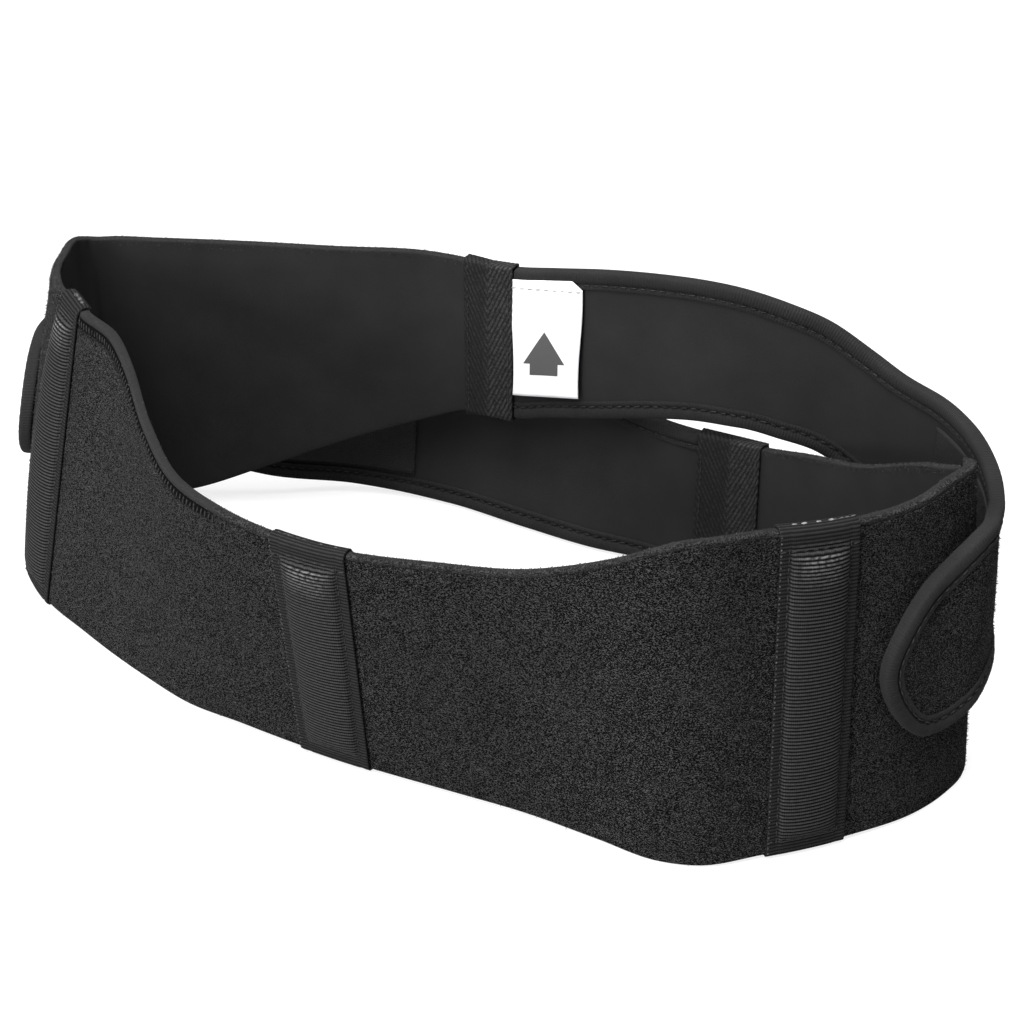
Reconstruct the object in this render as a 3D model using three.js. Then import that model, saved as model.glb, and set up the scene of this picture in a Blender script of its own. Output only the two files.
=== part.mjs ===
// Postpartum belly band: a wide laminated band that stands on its lower edge, high at the sides and
// scooped low in front, with three stay ribbons. Two straps carry on from its ends, cross behind and
// stick to its outer face. Millimetres, +Z up, the front faces -Y. The origin lies under the middle of
// the part, where it stands.
import * as THREE from "three";

// Driving dimensions
const LOOP_CENTRE = { x: -3.8, y: 83.8 }; // middle of the plan, from the foot of the centre ribbon
const BAND = { pile: 1.7, lining: 1.7, gap: 0.25, rows: 4, sag: 0.25, widestStep: 12 };
const STRAP = { pile: 1.3, lining: 1.3, gap: 0.2, rows: 3, sag: 0.1, widestStep: 11 };
const TAB = { round: 30, steps: 8, blunt: 0.35 }; // a strap's rounded end; its sheets start just behind the tip
const RIBBON = { width: 26, thick: 0.9, gap: 0.4, tuck: 5, rows: 4 };
const TAPE = { thick: 0.9, gap: 0.3, rows: 3, buttGap: 0.5 };
const BINDING = { width: 6.8, thick: 0.8, gap: 0.35, shoulder: 0.5 };
const BINDING_CLEAR = { edge: 0.45, tape: 0.5, lastStep: 1 }; // from the strap's sheets and from the tape
const PATCH = { thick: 0.8, gap: 0.4, inset: 9 };
const LABEL = { width: 28, length: 47, thick: 0.5, gap: 0.25, columns: 4, rows: 4 };
const LABEL_PLACE = { below: 3.4, fromTape: 0.6 }; // from the strap's upper edge and from the left tape
const STICK_CLEARANCE = 4.5; // from the band's outer face to the outer face of a strap stuck on it
const SAME_PLACE = 0.01; // places this close along a wall are one

// Materials: colours as photographed, all cloth
const FINISH = {
  pile: { color: 0x17171a, roughness: 0.95 },
  knit: { color: 0x1c1c1f, roughness: 0.85 },
  ribbon: { color: 0x232326, roughness: 0.55 },
  tape: { color: 0x1a1a1c, roughness: 0.75 },
  edging: { color: 0x19191c, roughness: 0.8 },
  hooks: { color: 0x141416, roughness: 0.7 },
  satin: { color: 0xf1f1ef, roughness: 0.6 },
};

// Each row is one upright section of a wall, going round the loop counter-clockwise as seen from above.
// x, y: the outer face at the foot; foot, head: heights of the two edges; lean: how far the head stands
// inwards of the foot; belly: how far the middle swells outwards.
const SECTION = ["x", "y", "foot", "head", "lean", "belly"];

const BAND_ROWS = table(SECTION, [
  [-33, 159, 51, 111.3, 0, 0], // joint with the upper strap
  [-43, 158.2, 50, 112, 0, 0],
  [-57.3, 154.8, 45, 113, 0, 0],
  [-83.4, 141, 36, 114.3, 0, 0],
  [-117.2, 128, 20, 114, 0, 0],
  [-154, 115.6, 4, 112.4, 0, 0],
  [-175.5, 109.3, 1, 110.8, 0.3, 0.5],
  [-184.3, 101, 0, 112.4, 2.6, 1.5], // left corner
  [-184.4, 80, 0, 112, 9.8, 3],
  [-180, 60, 0.6, 112, 18, 4],
  [-170.7, 42.3, 1.3, 112, 25, 4],
  [-156.8, 31.5, 1.3, 112, 26, 2], // left ribbon
  [-143, 24.2, 1.3, 112, 25, 0],
  [-124, 18.3, 0.5, 112, 23, 0],
  [-104.8, 12.2, 0.2, 107.6, 17.3, 0],
  [-84, 6.4, 0.2, 97.4, 8.3, 0],
  [-61.9, 1.4, 0.3, 90.2, 0, 0],
  [-36.8, 0, 1.3, 88.2, -7, 0],
  [0, 0, 1.3, 87.2, -10, 0], // centre ribbon, the low middle of the scoop
  [41.8, 3.6, 1.3, 90.2, -8, 0],
  [69.3, 6.4, 1, 93.2, -5, 0],
  [93.4, 7, 0.4, 101.8, -2, 0],
  [114.3, 7.2, 0.2, 111.6, 2, 0],
  [126.3, 11.3, 0.4, 112.8, 5, 0],
  [141.9, 25.1, 1.3, 111.5, 8, 0], // right ribbon
  [159.9, 45.5, 1.3, 110.5, 8, 0],
  [174.4, 68.4, 0.6, 111, 9, -0.5],
  [179, 83, 0, 113, 8.7, 1], // right bend
  [180.8, 95, 0, 113, 8.4, 1],
  [178, 106.8, 0, 111, 10, 0],
  [160, 117.5, 0, 102.5, 9, 0],
  [128, 137, 0, 83.2, 6, 0],
  [101, 154, 0.5, 71, 3, 0],
  [79, 164.5, 1.5, 62.5, 1, 0],
  [65, 165.8, 1.5, 61, 0, 0], // joint with the lower strap
]);

// Rows of a strap where it sticks to the band: along is measured on the band from the centre ribbon,
// positive to the right.
const STUCK = ["along", "foot", "head"];
const UPPER_STUCK_ROWS = table(STUCK, [
  [184, 35, 80.5], // tip of the tab
  [188.3, 32.4, 82.4],
  [193, 30.2, 84.6],
  [198.4, 29.4, 86.3],
  [204, 30.3, 87.6],
]);
const UPPER_FREE_ROWS = table(SECTION, [
  [183.6, 88, 35.5, 98, 2.1, 0.3],
  [183.6, 98.8, 40, 97.8, 3.5, 0.4],
  [177.5, 115.4, 44, 97.5, 2.2, 0],
  [167.2, 133.8, 44, 97.5, 1, 0],
  [153, 152.5, 44, 97.5, 0.5, 0],
  [138.5, 164.5, 44, 97.5, 0, 0],
  [122, 172.5, 47, 98.5, 0, 0],
  [110, 175, 53, 103, 0, 0],
  [94, 174, 60.8, 111, 0, 0],
  [80, 169.5, 64.8, 116.4, 0, 0], // over the joint of band and lower strap
  [66, 165.5, 67.4, 120, 0, 0],
  [50, 163.5, 66.9, 120.9, 0, 0],
  [32, 162, 63.8, 120, 0, 0],
  [14, 161, 59.5, 118, 0, 0],
  [-8, 160.4, 54.5, 114.2, 0, 0],
  [-23, 159.7, 51, 111.8, 0, 0],
  [-33, 159, 51, 111.3, 0, 0],
]);
const LOWER_FREE_ROWS = table(SECTION, [
  [65, 165.8, 1.5, 61, 0, 0],
  [52, 165.5, 1.5, 61, 0, 0],
  [29, 166, 1.2, 59.6, -4.5, 0],
  [8, 164, 1, 60, -12, 0], // passes outside the upper strap
  [-20, 164.5, 1, 60, -13, 0],
  [-57, 166, 1, 60, -11, 0],
  [-78, 163.5, 1.5, 60, -8, 0],
  [-97, 157.5, 3, 62, -5, 0],
  [-127, 138, 8, 66, -2, 0],
  [-152, 125, 16, 73, 0, 0],
  [-177, 118, 24, 78, 0, 0],
  [-190, 104, 29.5, 82.5, 2, 0],
]);
const LOWER_STUCK_ROWS = table(STUCK, [
  [-214, 33, 85.5],
  [-207, 32.6, 84.4],
  [-201, 32, 83.4],
  [-195.5, 31.6, 82.6],
  [-190, 31.5, 82], // tip of the tab
]);

// Where the trim sits: ribbons by their place along the band, tapes and patches by their size
const RIBBON_PLACES = table(["name", "along"], [
  ["stay_ribbon_left", -162],
  ["stay_ribbon_centre", 0],
  ["stay_ribbon_right", 161.5],
]);
const TAPE_WIDTH = { left: 20, right: 26 };
const PATCH_LENGTH = { upper: 128, lower: 190 };

function table(columns, rows) {
  return rows.map((row) => Object.fromEntries(columns.map((column, i) => [column, row[i]])));
}

// A smooth path through rows: every column is a cubic in the plan distance from row to row. Heights and
// leans stay between those of their rows.
function pathThrough(rows) {
  const columns = Object.keys(rows[0]);
  const spans = rows.slice(1).map((row, i) => Math.hypot(row.x - rows[i].x, row.y - rows[i].y));
  const knots = spans.reduce((sums, span) => [...sums, sums.at(-1) + span], [0]);
  const rise = (i, column) => (rows[i + 1][column] - rows[i][column]) / spans[i];
  const slope = (i, column) => {
    if (i === 0) return rise(0, column);
    if (i === rows.length - 1) return rise(i - 1, column);
    const [before, after] = [rise(i - 1, column), rise(i, column)];
    const turnsBack = before * after <= 0 && column !== "x" && column !== "y";
    const share = spans[i - 1] / (spans[i - 1] + spans[i]);
    return turnsBack ? 0 : before * (1 - share) + after * share;
  };
  const at = (distance) => {
    const u = THREE.MathUtils.clamp(distance, 0, knots.at(-1));
    const next = knots.findIndex((knot) => knot > u);
    const i = next < 0 ? spans.length - 1 : next - 1;
    const t = (u - knots[i]) / spans[i];
    const value = (column) =>
      (2 * t ** 3 - 3 * t ** 2 + 1) * rows[i][column] +
      (t ** 3 - 2 * t ** 2 + t) * spans[i] * slope(i, column) +
      (3 * t ** 2 - 2 * t ** 3) * rows[i + 1][column] +
      (t ** 3 - t ** 2) * spans[i] * slope(i + 1, column);
    return Object.fromEntries(columns.map((column) => [column, value(column)]));
  };
  return { length: knots.at(-1), at };
}

// A wall stands on a path: u runs along its foot, z is a height, depth goes inwards from its outer face.
class Wall {
  constructor(rows) {
    this.path = pathThrough(rows);
    this.length = this.path.length;
  }

  section(u) {
    const reach = 0.5;
    const before = this.path.at(u - reach);
    const after = this.path.at(u + reach);
    const along = new THREE.Vector2(after.x - before.x, after.y - before.y).normalize();
    return { ...this.path.at(u), inX: -along.y, inY: along.x };
  }

  inset(section, z) {
    const t = (z - section.foot) / (section.head - section.foot);
    const swell = 4 * t * (1 - t); // 0 at both edges, 1 half way up
    return section.lean * t - section.belly * swell;
  }

  point(u, z, depth) {
    const section = this.section(u);
    const inwards = this.inset(section, z) + depth;
    return new THREE.Vector3(section.x + section.inX * inwards, section.y + section.inY * inwards, z);
  }

  // Distances from one to another, closer together where the wall bends, so that a chord strays by sag at
  // most: over a step on a bend the chord strays by turn * step * step / 8.
  places(from, to, { sag, widestStep }) {
    const fine = evenly(from, to, Math.ceil(to - from));
    const facing = (u) => Math.atan2(this.section(u).inY, this.section(u).inX);
    const turn = (u) => {
      const angle = facing(u + 1) - facing(u - 1);
      return Math.abs(Math.atan2(Math.sin(angle), Math.cos(angle))) / 2;
    };
    const density = fine.map((u) => Math.max(1 / widestStep, Math.sqrt(turn(u) / (8 * sag))));
    const sums = density.reduce((list, value) => [...list, (list.at(-1) ?? 0) + value], []);
    const count = Math.max(2, Math.ceil(sums.at(-1) - sums[0]));
    return evenly(sums[0], sums.at(-1), count).map((sum, i) => {
      if (i === count) return to;
      const after = Math.max(1, sums.findIndex((value) => value > sum));
      const share = (sum - sums[after - 1]) / (sums[after] - sums[after - 1]);
      return THREE.MathUtils.lerp(fine[after - 1], fine[after], share);
    });
  }

  // The distance along the wall whose foot is nearest to a place on the plan.
  nearest(x, y) {
    const stepsPerMillimetre = 4;
    const distance = (u) => Math.hypot(this.path.at(u).x - x, this.path.at(u).y - y);
    const places = evenly(0, this.length, stepsPerMillimetre * Math.ceil(this.length));
    return places.reduce((best, u) => (distance(u) < distance(best) ? u : best));
  }

  // The row of another wall that lies on this one's outer face.
  rowOutside(u, foot, head, clearance) {
    const section = this.section(u);
    const low = this.inset(section, foot);
    const high = this.inset(section, head);
    const swell = (low + high) / 2 - this.inset(section, (foot + head) / 2);
    const inwards = low - clearance;
    return {
      x: section.x + section.inX * inwards,
      y: section.y + section.inY * inwards,
      foot,
      head,
      lean: high - low,
      belly: swell,
    };
  }
}

// A strap's tab is rounded: its half height closes like an ellipse over the last TAB.round of its length.
class Strap {
  constructor(wall, tipAtStart) {
    this.wall = wall;
    this.tipAtStart = tipAtStart;
    this.length = wall.length;
  }

  along(fromTip) {
    return this.tipAtStart ? fromTip : this.length - fromTip;
  }

  // Lower and upper edge of the strap's outline, drawn in by inset, at a distance from the tip.
  edges(fromTip, inset) {
    const row = this.wall.path.at(this.along(fromTip));
    const middle = (row.head + row.foot) / 2;
    const short = Math.max(0, (TAB.round - fromTip) / (TAB.round - inset));
    const half = ((row.head - row.foot) / 2 - inset) * Math.sqrt(Math.max(0, 1 - short ** 2));
    return { low: middle - half, high: middle + half };
  }

  // Distances from the tip round the tab, starting where an outline drawn in by inset starts.
  tabPlaces(inset) {
    const reach = TAB.round - inset;
    return evenly(0, Math.PI / 2, TAB.steps).map((angle) => TAB.round - reach * Math.cos(angle));
  }

  // Distances from the tip along the straight part, up to the joint, with the tape's edge as one of them.
  restPlaces(tapeWidth) {
    const tapeEdge = this.length - tapeWidth / 2;
    const rising = (a, b) => a - b;
    const ends = [this.along(TAB.round), this.along(tapeEdge)].sort(rising);
    const places = this.wall.places(...ends, STRAP).map((u) => this.along(u)).sort(rising);
    return [...places.slice(1), this.length - tapeWidth / 4, this.length - TAPE.buttGap / 2];
  }

  point(fromTip, z, depth) {
    return this.wall.point(this.along(fromTip), z, depth);
  }
}

// A closed sheet between two grids of points, outer[i][j] and inner[i][j]: i runs along a wall, j upwards
// on its outside. With looped, the last j joins the first, as in a sleeve.
function sheetGeometry(outer, inner, looped = false) {
  const columns = outer.length;
  const rows = outer[0].length;
  const points = [...outer.flat(), ...inner.flat()];
  const out = (i, j) => i * rows + (j % rows);
  const back = (i, j) => columns * rows + out(i, j);
  const index = [];
  const quad = (a, b, c, d) => index.push(a, b, c, a, c, d);
  const lastRow = looped ? rows : rows - 1;
  for (let i = 0; i < columns - 1; i++) {
    for (let j = 0; j < lastRow; j++) {
      quad(out(i, j), out(i + 1, j), out(i + 1, j + 1), out(i, j + 1));
      quad(back(i, j), back(i, j + 1), back(i + 1, j + 1), back(i + 1, j));
    }
    if (!looped) {
      quad(out(i, 0), back(i, 0), back(i + 1, 0), out(i + 1, 0));
      quad(out(i, lastRow), out(i + 1, lastRow), back(i + 1, lastRow), back(i, lastRow));
    }
  }
  for (let j = 0; j < lastRow; j++) {
    const end = columns - 1;
    quad(out(0, j), out(0, j + 1), back(0, j + 1), back(0, j));
    quad(out(end, j), back(end, j), back(end, j + 1), out(end, j + 1));
  }
  const geometry = new THREE.BufferGeometry().setFromPoints(points);
  geometry.setIndex(index);
  geometry.computeVertexNormals();
  return geometry;
}

const evenly = (from, to, count) =>
  Array.from({ length: count + 1 }, (_, i) => THREE.MathUtils.lerp(from, to, i / count));

const body = new THREE.Group();
body.position.set(-LOOP_CENTRE.x, -LOOP_CENTRE.y, 0);

function addPiece(name, geometry, finish) {
  const mesh = new THREE.Mesh(geometry, new THREE.MeshStandardMaterial({ ...finish, metalness: 0 }));
  mesh.name = name;
  body.add(mesh);
}

const bandWall = new Wall(BAND_ROWS);
const bandCentre = bandWall.nearest(0, 0);
const bandThick = BAND.pile + BAND.gap + BAND.lining;
const strapThick = STRAP.pile + STRAP.gap + STRAP.lining;
const onBand = ({ along, foot, head }) =>
  bandWall.rowOutside(bandCentre + along, foot, head, STICK_CLEARANCE);
const upperStrap = new Strap(new Wall([...UPPER_STUCK_ROWS.map(onBand), ...UPPER_FREE_ROWS]), true);
const lowerStrap = new Strap(new Wall([...LOWER_FREE_ROWS, ...LOWER_STUCK_ROWS.map(onBand)]), false);

// Band: pile outside, knit lining inside. Its places include the edges of all that is sewn over it.
const ribbonHalf = RIBBON.width / 2;
const ribbonEdges = RIBBON_PLACES.flatMap(({ along }) => [along - ribbonHalf, along + ribbonHalf]);
const bandBreaks = [
  TAPE.buttGap / 2,
  TAPE_WIDTH.left / 2,
  ...ribbonEdges.map((along) => bandCentre + along),
  bandWall.length - TAPE_WIDTH.right / 2,
  bandWall.length - TAPE.buttGap / 2,
];
const bandPlaces = bandBreaks
  .slice(1)
  .flatMap((end, i) => bandWall.places(bandBreaks[i], end, BAND).slice(i === 0 ? 0 : 1));
const placesWithin = (from, to) =>
  bandPlaces.filter((u) => u > from - SAME_PLACE && u < to + SAME_PLACE);

function bandLayer(from, to) {
  const grid = (depth) =>
    bandPlaces.map((u) => {
      const { foot, head } = bandWall.path.at(u);
      return evenly(foot, head, BAND.rows).map((z) => bandWall.point(u, z, depth));
    });
  return sheetGeometry(grid(from), grid(to));
}

addPiece("band_face", bandLayer(0, BAND.pile), FINISH.pile);
addPiece("band_lining", bandLayer(BAND.pile + BAND.gap, bandThick), FINISH.knit);

// Stay ribbons: folded under the foot, up the outside and over the head of the band, the ends tucked inside
function ribbon(centre) {
  const grid = (away) =>
    placesWithin(centre - ribbonHalf, centre + ribbonHalf).map((u) => {
      const { foot, head } = bandWall.path.at(u);
      const inside = bandThick + away;
      const rising = evenly(foot, head, RIBBON.rows).slice(1, -1);
      const outside = [foot - away, ...rising, head + away].map((z) => bandWall.point(u, z, -away));
      const lowTuck = [foot + RIBBON.tuck, foot - away].map((z) => bandWall.point(u, z, inside));
      const highTuck = [head + away, head - RIBBON.tuck].map((z) => bandWall.point(u, z, inside));
      return [...lowTuck, ...outside, ...highTuck];
    });
  return sheetGeometry(grid(RIBBON.gap + RIBBON.thick), grid(RIBBON.gap));
}

for (const { name, along } of RIBBON_PLACES) addPiece(name, ribbon(bandCentre + along), FINISH.ribbon);

// Joint tapes: sleeves over the butted ends of two walls, the first ending where the second begins
function sleeve(before, beforePlaces, after, afterPlaces) {
  const columns = [
    ...beforePlaces.map((u) => ({ wall: before, u })),
    ...afterPlaces.map((u) => ({ wall: after, u })),
  ];
  const grid = (away) =>
    columns.map(({ wall, u }) => {
      const { foot, head } = wall.path.at(u);
      const heights = evenly(foot, head, TAPE.rows).slice(1, -1);
      const rising = [foot - away, ...heights, head + away];
      const outside = rising.map((z) => wall.point(u, z, -away));
      const inside = rising.toReversed().map((z) => wall.point(u, z, bandThick + away));
      return [...outside, ...inside];
    });
  return sheetGeometry(grid(TAPE.gap + TAPE.thick), grid(TAPE.gap), true);
}

const upperEnd = upperStrap.length;
const bandEnd = bandWall.length;
const leftTape = sleeve(
  upperStrap.wall,
  [upperEnd - TAPE_WIDTH.left / 2, upperEnd - TAPE_WIDTH.left / 4],
  bandWall,
  placesWithin(0, TAPE_WIDTH.left / 2),
);
const rightTape = sleeve(
  bandWall,
  placesWithin(bandEnd - TAPE_WIDTH.right / 2, bandEnd),
  lowerStrap.wall,
  [TAPE_WIDTH.right / 4, TAPE_WIDTH.right / 2],
);
addPiece("joint_tape_left", leftTape, FINISH.tape);
addPiece("joint_tape_right", rightTape, FINISH.tape);

// Strap layers and hook patches: sheets inside the strap's outline, drawn in by inset
function strapSheet(strap, { from, to, inset, places }) {
  const fromTip = [...strap.tabPlaces(inset), ...places].map((place) => Math.max(place, inset + TAB.blunt));
  const alongWall = strap.tipAtStart ? fromTip : fromTip.toReversed();
  const grid = (depth) =>
    alongWall.map((place) => {
      const { low, high } = strap.edges(place, inset);
      return evenly(low, high, STRAP.rows).map((z) => strap.point(place, z, depth));
    });
  return sheetGeometry(grid(from), grid(to));
}

// Binding: a folded tape round the strap's edge, from the joint along one edge, round the tab and back
function bindingSheet(strap, places) {
  const fromTip = [...strap.tabPlaces(0), ...places];
  const edge = (side) =>
    fromTip.map((place) => ({ u: strap.along(place), z: strap.edges(place, 0)[side] }));
  const [first, second] = strap.tipAtStart ? ["low", "high"] : ["high", "low"];
  const outline = [...edge(first).toReversed(), ...edge(second).slice(1)];
  const inwards = outline.map((place, i) => {
    const before = outline[i - 1] ?? { u: place.u - (outline[1].u - place.u), z: place.z };
    const after = outline[i + 1] ?? { u: place.u + (place.u - before.u), z: place.z };
    const isEnd = i === 0 || i === outline.length - 1;
    const step = new THREE.Vector2(after.u - before.u, isEnd ? 0 : after.z - before.z).normalize();
    return { u: step.y, z: -step.x };
  });
  const fold = (away, edgeInset, shoulder) => [
    [BINDING.width, -away],
    [edgeInset + shoulder, -away],
    [edgeInset, strapThick / 2],
    [edgeInset + shoulder, strapThick + away],
    [BINDING.width, strapThick + away],
  ];
  const grid = (section) =>
    outline.map(({ u, z }, i) => {
      const inside = (inset, depth) =>
        strap.wall.point(u + inwards[i].u * inset, z + inwards[i].z * inset, depth);
      return section.map(([inset, depth]) => inside(inset, depth));
    });
  const outer = fold(BINDING.gap + BINDING.thick, 0, BINDING.shoulder);
  const inner = fold(BINDING.gap, BINDING.thick, 0);
  return sheetGeometry(grid(outer), grid(inner));
}

const edgeInset = BINDING.thick + BINDING_CLEAR.edge;
const pileLayer = { inset: edgeInset, from: 0, to: STRAP.pile };
const liningLayer = { inset: edgeInset, from: STRAP.pile + STRAP.gap, to: strapThick };
const patchDepth = strapThick + PATCH.gap;
const patchLayer = { inset: PATCH.inset, from: patchDepth, to: patchDepth + PATCH.thick };
const strapPieces = [
  { name: "upper", strap: upperStrap, tapeWidth: TAPE_WIDTH.left, patchLength: PATCH_LENGTH.upper },
  { name: "lower", strap: lowerStrap, tapeWidth: TAPE_WIDTH.right, patchLength: PATCH_LENGTH.lower },
];
for (const { name, strap, tapeWidth, patchLength } of strapPieces) {
  const places = strap.restPlaces(tapeWidth);
  const tapeEdge = strap.length - tapeWidth / 2;
  const boundEnd = tapeEdge - BINDING_CLEAR.tape;
  const boundPlaces = [...places.filter((place) => place < tapeEdge - BINDING_CLEAR.lastStep), boundEnd];
  const patchPlaces = places.filter((place) => place < patchLength);
  addPiece(`strap_${name}_face`, strapSheet(strap, { ...pileLayer, places }), FINISH.pile);
  addPiece(`strap_${name}_lining`, strapSheet(strap, { ...liningLayer, places }), FINISH.knit);
  addPiece(`binding_${name}`, bindingSheet(strap, boundPlaces), FINISH.edging);
  addPiece(`hook_patch_${name}`, strapSheet(strap, { ...patchLayer, places: patchPlaces }), FINISH.hooks);
}

// Label: sewn over the upper strap's binding beside the left tape, hanging on the inside
function labelSheet(strap, tapeWidth) {
  const right = strap.length - tapeWidth / 2 - LABEL_PLACE.fromTape;
  const depth = strapThick + BINDING.gap + BINDING.thick + LABEL.gap;
  const grid = (away) =>
    evenly(right - LABEL.width, right, LABEL.columns).map((u) => {
      const top = strap.wall.path.at(u).head - LABEL_PLACE.below;
      return evenly(top - LABEL.length, top, LABEL.rows).map((z) => strap.wall.point(u, z, depth + away));
    });
  return sheetGeometry(grid(0), grid(LABEL.thick));
}

addPiece("label", labelSheet(upperStrap, TAPE_WIDTH.left), FINISH.satin);

export default body;
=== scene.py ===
import math

import bpy
import numpy as np
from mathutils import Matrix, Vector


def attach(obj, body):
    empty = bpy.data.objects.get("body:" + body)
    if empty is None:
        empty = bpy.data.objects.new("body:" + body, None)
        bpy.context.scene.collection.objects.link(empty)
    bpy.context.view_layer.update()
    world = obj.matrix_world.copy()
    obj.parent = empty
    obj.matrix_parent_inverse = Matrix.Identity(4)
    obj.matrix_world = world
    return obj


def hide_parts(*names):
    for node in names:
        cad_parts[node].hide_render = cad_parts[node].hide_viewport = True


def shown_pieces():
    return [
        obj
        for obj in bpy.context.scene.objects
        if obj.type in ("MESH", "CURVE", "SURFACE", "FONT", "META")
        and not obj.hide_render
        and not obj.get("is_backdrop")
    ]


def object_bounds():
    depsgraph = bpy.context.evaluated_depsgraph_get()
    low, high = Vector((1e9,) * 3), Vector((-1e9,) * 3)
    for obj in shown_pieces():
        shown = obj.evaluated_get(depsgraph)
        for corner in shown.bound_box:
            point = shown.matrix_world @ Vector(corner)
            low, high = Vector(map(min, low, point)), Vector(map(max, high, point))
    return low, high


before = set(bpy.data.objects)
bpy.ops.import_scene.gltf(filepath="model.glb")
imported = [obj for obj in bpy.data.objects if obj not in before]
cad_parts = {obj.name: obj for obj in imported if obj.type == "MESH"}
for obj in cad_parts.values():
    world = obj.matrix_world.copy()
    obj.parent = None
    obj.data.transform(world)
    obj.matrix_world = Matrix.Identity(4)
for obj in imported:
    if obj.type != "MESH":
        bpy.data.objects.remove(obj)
cadBox = [list(corner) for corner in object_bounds()]
mm = 0.001  # the tables and dictionaries below are in millimetres
loopCentre = np.array([-3.8, 83.8])  # middle of the plan, from the foot of the centre ribbon
print("frame loaded:", len(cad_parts), "nodes")

# Upright sections of the band, counter-clockwise seen from above: x, y of the outer face at the foot,
# heights of foot and head, how far the head leans inwards, how far the middle swells outwards
bandRows = [
    (-33, 159, 51, 111.3, 0, 0),  # joint with the upper strap
    (-43, 158.2, 50, 112, 0, 0),
    (-57.3, 154.8, 45, 113, 0, 0),
    (-83.4, 141, 36, 114.3, 0, 0),
    (-117.2, 128, 20, 114, 0, 0),
    (-154, 115.6, 4, 112.4, 0, 0),
    (-175.5, 109.3, 1, 110.8, 0.3, 0.5),
    (-184.3, 101, 0, 112.4, 2.6, 1.5),  # left corner
    (-184.4, 80, 0, 112, 9.8, 3),
    (-180, 60, 0.6, 112, 18, 4),
    (-170.7, 42.3, 1.3, 112, 25, 4),
    (-156.8, 31.5, 1.3, 112, 26, 2),  # left ribbon
    (-143, 24.2, 1.3, 112, 25, 0),
    (-124, 18.3, 0.5, 112, 23, 0),
    (-104.8, 12.2, 0.2, 107.6, 17.3, 0),
    (-84, 6.4, 0.2, 97.4, 8.3, 0),
    (-61.9, 1.4, 0.3, 90.2, 0, 0),
    (-36.8, 0, 1.3, 88.2, -7, 0),
    (0, 0, 1.3, 87.2, -10, 0),  # centre ribbon
    (41.8, 3.6, 1.3, 90.2, -8, 0),
    (69.3, 6.4, 1, 93.2, -5, 0),
    (93.4, 7, 0.4, 101.8, -2, 0),
    (114.3, 7.2, 0.2, 111.6, 2, 0),
    (126.3, 11.3, 0.4, 112.8, 5, 0),
    (141.9, 25.1, 1.3, 111.5, 8, 0),  # right ribbon
    (159.9, 45.5, 1.3, 110.5, 8, 0),
    (174.4, 68.4, 0.6, 111, 9, -0.5),
    (179, 83, 0, 113, 8.7, 1),  # right bend
    (180.8, 95, 0, 113, 8.4, 1),
    (178, 106.8, 0, 111, 10, 0),
    (160, 117.5, 0, 102.5, 9, 0),
    (128, 137, 0, 83.2, 6, 0),
    (101, 154, 0.5, 71, 3, 0),
    (79, 164.5, 1.5, 62.5, 1, 0),
    (65, 165.8, 1.5, 61, 0, 0),  # joint with the lower strap
]
# Where a strap sticks to the band: place along the band from the centre ribbon, foot, head
upperStuckRows = [
    (184, 35, 80.5),
    (188.3, 32.4, 82.4),
    (193, 30.2, 84.6),
    (198.4, 29.4, 86.3),
    (204, 30.3, 87.6),
]
upperFreeRows = [
    (183.6, 88, 35.5, 98, 2.1, 0.3),
    (183.6, 98.8, 40, 97.8, 3.5, 0.4),
    (177.5, 115.4, 44, 97.5, 2.2, 0),
    (167.2, 133.8, 44, 97.5, 1, 0),
    (153, 152.5, 44, 97.5, 0.5, 0),
    (138.5, 164.5, 44, 97.5, 0, 0),
    (122, 172.5, 47, 98.5, 0, 0),
    (110, 175, 53, 103, 0, 0),
    (94, 174, 60.8, 111, 0, 0),
    (80, 169.5, 64.8, 116.4, 0, 0),  # over the joint of band and lower strap
    (66, 165.5, 67.4, 120, 0, 0),
    (50, 163.5, 66.9, 120.9, 0, 0),
    (32, 162, 63.8, 120, 0, 0),
    (14, 161, 59.5, 118, 0, 0),
    (-8, 160.4, 54.5, 114.2, 0, 0),
    (-23, 159.7, 51, 111.8, 0, 0),
    (-33, 159, 51, 111.3, 0, 0),
]
lowerFreeRows = [
    (65, 165.8, 1.5, 61, 0, 0),
    (52, 165.5, 1.5, 61, 0, 0),
    (29, 166, 1.2, 59.6, -4.5, 0),
    (8, 164, 1, 60, -12, 0),  # passes outside the upper strap
    (-20, 164.5, 1, 60, -13, 0),
    (-57, 166, 1, 60, -11, 0),
    (-78, 163.5, 1.5, 60, -8, 0),
    (-97, 157.5, 3, 62, -5, 0),
    (-127, 138, 8, 66, -2, 0),
    (-152, 125, 16, 73, 0, 0),
    (-177, 118, 24, 78, 0, 0),
    (-190, 104, 29.5, 82.5, 2, 0),
]
lowerStuckRows = [
    (-214, 33, 85.5),
    (-207, 32.6, 84.4),
    (-201, 32, 83.4),
    (-195.5, 31.6, 82.6),
    (-190, 31.5, 82),
]


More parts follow.
